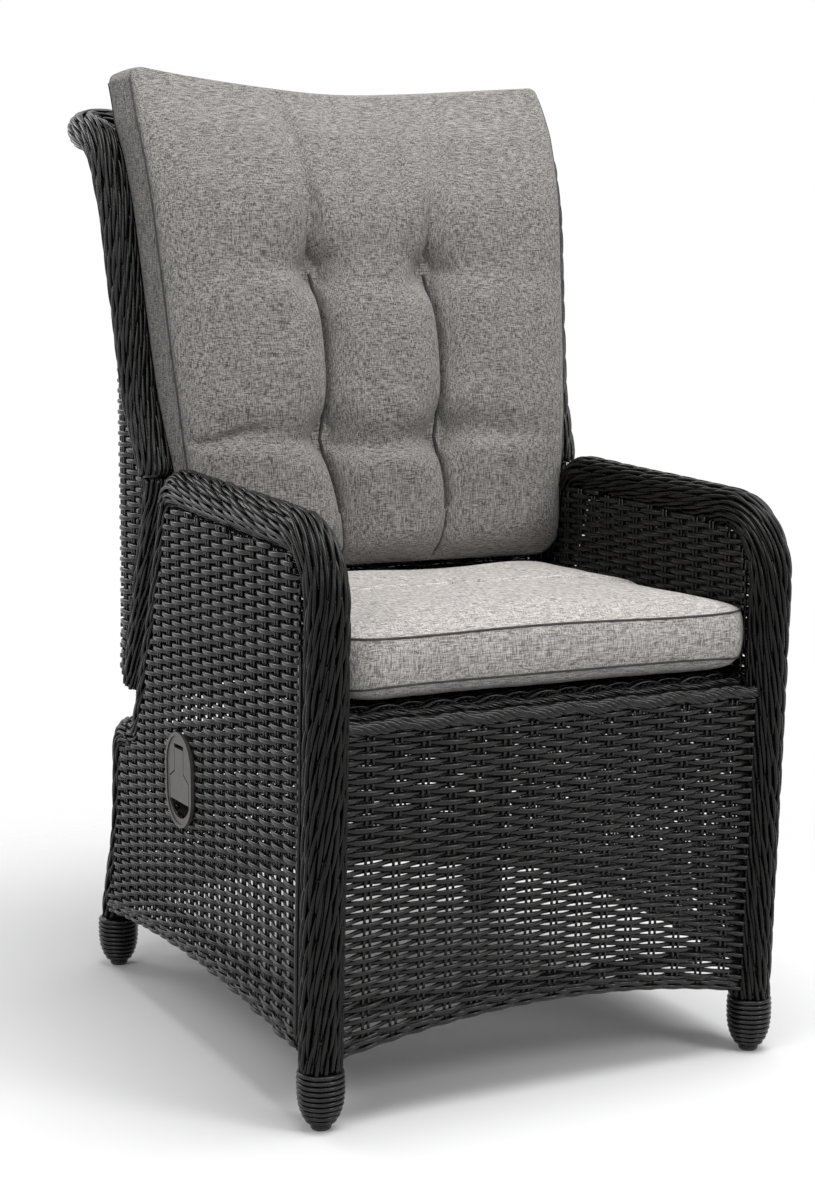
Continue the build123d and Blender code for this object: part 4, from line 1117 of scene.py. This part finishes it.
# Stitched creases: a cord in each crease valley, a sewn stitch whose near-black colour is painted
# shade of the crease line
creased = heights[(heights > 0.02) & (heights < (tuft_high_z - pad_low_z) / pad_height)]
for name, third in (("left", 1), ("right", 2)):
    u = np.full(len(creased), 0.5 + (third - 1.5) / 3)
    line = back_pad_place(u, creased, np.zeros(len(creased)))
    line[:, 1] -= stitch_shade_lift
    piping("back_pad_stitch_shade_" + name, line, to_front, "backrest", stitch_shade_width)

seat_half_y = (seat_rear_y - seat_front_y) / 2
seat_middle_y = (seat_front_y + seat_rear_y) / 2 + front_y


def seat_outline():
    """Even points on a rectangle with round corners, its middle at the origin."""
    corners = []
    radius = seat_corner_r
    for x_sign, y_sign, turn in ((1, -1, -90), (1, 1, 0), (-1, 1, 90), (-1, -1, 180)):
        for share in np.linspace(0, 1, arc_points):
            angle = math.radians(turn + 90 * share)
            corners.append((x_sign * (seat_half - radius) + radius * math.cos(angle),
                            y_sign * (seat_half_y - radius) + radius * math.sin(angle)))
    corners.append(corners[0])
    return along(corners, 2 * (seat_half + seat_half_y) * 2 / seat_points)[:-1]


def seat_lift(outline, z, scale):
    """How far the seat cushion is raised: ears at its corners, an uneven upper edge."""
    upper = np.sign(z - (seat_low_z + seat_high_z) / 2)
    ear = seat_ear * np.prod(np.abs(outline) / (seat_half, seat_half_y), axis=1)**6 * scale**8
    sag = seat_sag * np.cos(outline[:, 0] * 13 + 1.2 + np.sign(outline[:, 1]))
    return ear * upper + sag * (upper > 0)


def seat_cushion():
    """Box cushion: domed top and underside, sides that swell between two piped seams."""
    outline = seat_outline()
    outward = unit(outline)
    count = len(outline)
    rings = []
    for share in np.linspace(seat_inner, 1, seat_under_rings):
        rings.append((share, seat_low_z - seat_under * (1 - share**14)**0.62, 0.0))
    for share in np.linspace(0, 1, seat_side_rings)[1:-1]:
        rings.append((1, seat_low_z + (seat_high_z - seat_low_z) * share,
                      seat_bulge * math.sin(math.pi * share)**0.7))
    for share in np.linspace(1, seat_inner, seat_top_rings):
        rings.append((share, seat_high_z + seat_crown * (1 - share**5)**0.75, 0.0))
    points = []
    gathers = seat_seam_wave * np.sin(np.arange(count) * 2 * math.pi / 9)
    for scale, z, puff in rings:
        x, y = (outline * scale + outward * puff).T
        ripple = seat_wave * np.sin(x * 38 + 2 * np.sin(y * 21)) * np.sin(y * 33)
        lift = seat_lift(outline, z, scale) + ripple * 4 * scale * (1 - scale)
        lift = lift + gathers * scale**14 * (1 - scale) * 8
        points.append(np.column_stack([x, y + seat_middle_y, z + lift]))
    faces = []
    for ring in range(len(rings) - 1):
        for k in range(count):
            a = ring * count + k
            b = ring * count + (k + 1) % count
            faces.append((a, b, b + count, a + count))
    faces.append(tuple(range(count))[::-1])
    faces.append(tuple(range((len(rings) - 1) * count, len(rings) * count)))
    padded_piece(np.concatenate(points), faces, "seat_pad", seat_fabric, "base", "seat_cushion")
    away = np.column_stack([outward, np.zeros(count)])
    for name, z in (("low", seat_low_z), ("high", seat_high_z)):
        loop = np.column_stack([outline, z + seat_lift(outline, z, 1.0)])
        loop[:, 1] += seat_middle_y
        loop = np.concatenate([loop, loop[:2]])
        piping("seat_pad_seam_" + name, loop, np.concatenate([away, away[:2]]), "base")


seat_cushion()


# Camera, light and floor

def aim(thing, place, target):
    """Puts a camera or a light at a place, turned to a target."""
    place, target = Vector(place), Vector(target)
    thing.location = place
    thing.rotation_euler = (target - place).to_track_quat("-Z", "Y").to_euler()


camera_data = bpy.data.cameras.new("camera")
camera_data.lens = camera_lens
camera_data.sensor_width = sensor_width
camera = add_object("camera", camera_data)
feet = Vector((0, front_y, 0))
aim(camera, feet + Vector(camera_place), feet + Vector(camera_target))
scene.camera = camera

for name, (place, target_z, size, power) in lights.items():
    light_data = bpy.data.lights.new(name, "AREA")
    light_data.shape = "DISK"
    light_data.size = size
    light_data.energy = power
    aim(add_object(name, light_data), place, (0, 0, target_z))

# White where the world is seen, mirrored or looked through, darker as a light
world = bpy.data.worlds.new("studio")
scene.world = world
world.use_nodes = True
nodes, links = world.node_tree.nodes, world.node_tree.links
background = nodes["Background"]
background.inputs["Color"].default_value = (1, 1, 1, 1)
rays = nodes.new("ShaderNodeLightPath").outputs
seen = larger(nodes, links, rays["Is Camera Ray"], rays["Is Glossy Ray"])
seen = larger(nodes, links, seen, rays["Is Transmission Ray"])
links.new(map_range(nodes, links, seen, target=(world_light, 1.0)), background.inputs["Strength"])

# The floor takes the shadow and fades out round the chair
floor_mesh = bpy.data.meshes.new("floor")
floor_square = oblong(-floor_reach, -floor_reach, floor_reach, floor_reach)
floor_mesh.from_pydata([(x, y, 0) for x, y in floor_square], [], [(0, 1, 2, 3)])
floor = add_object("floor", floor_mesh)
floor.location.z = -floor_drop
floor_material, nodes, links, shader = new_material("floor")
shader.inputs["Base Color"].default_value = (floor_tone, floor_tone, floor_tone, 1)
shader.inputs["Roughness"].default_value = 0.9
clear = nodes.new("ShaderNodeBsdfTransparent")
spot = nodes.new("ShaderNodeTexCoord")
distance = nodes.new("ShaderNodeVectorMath")
distance.operation = "LENGTH"
links.new(spot.outputs["Object"], distance.inputs[0])
mixer = nodes.new("ShaderNodeMixShader")
links.new(map_range(nodes, links, distance.outputs["Value"], floor_fade, kind="SMOOTHSTEP"),
          mixer.inputs["Fac"])
links.new(shader.outputs["BSDF"], mixer.inputs[1])
links.new(clear.outputs["BSDF"], mixer.inputs[2])
links.new(mixer.outputs["Shader"], nodes["Material Output"].inputs["Surface"])
floor_mesh.materials.append(floor_material)

scene.view_settings.view_transform = "Standard"
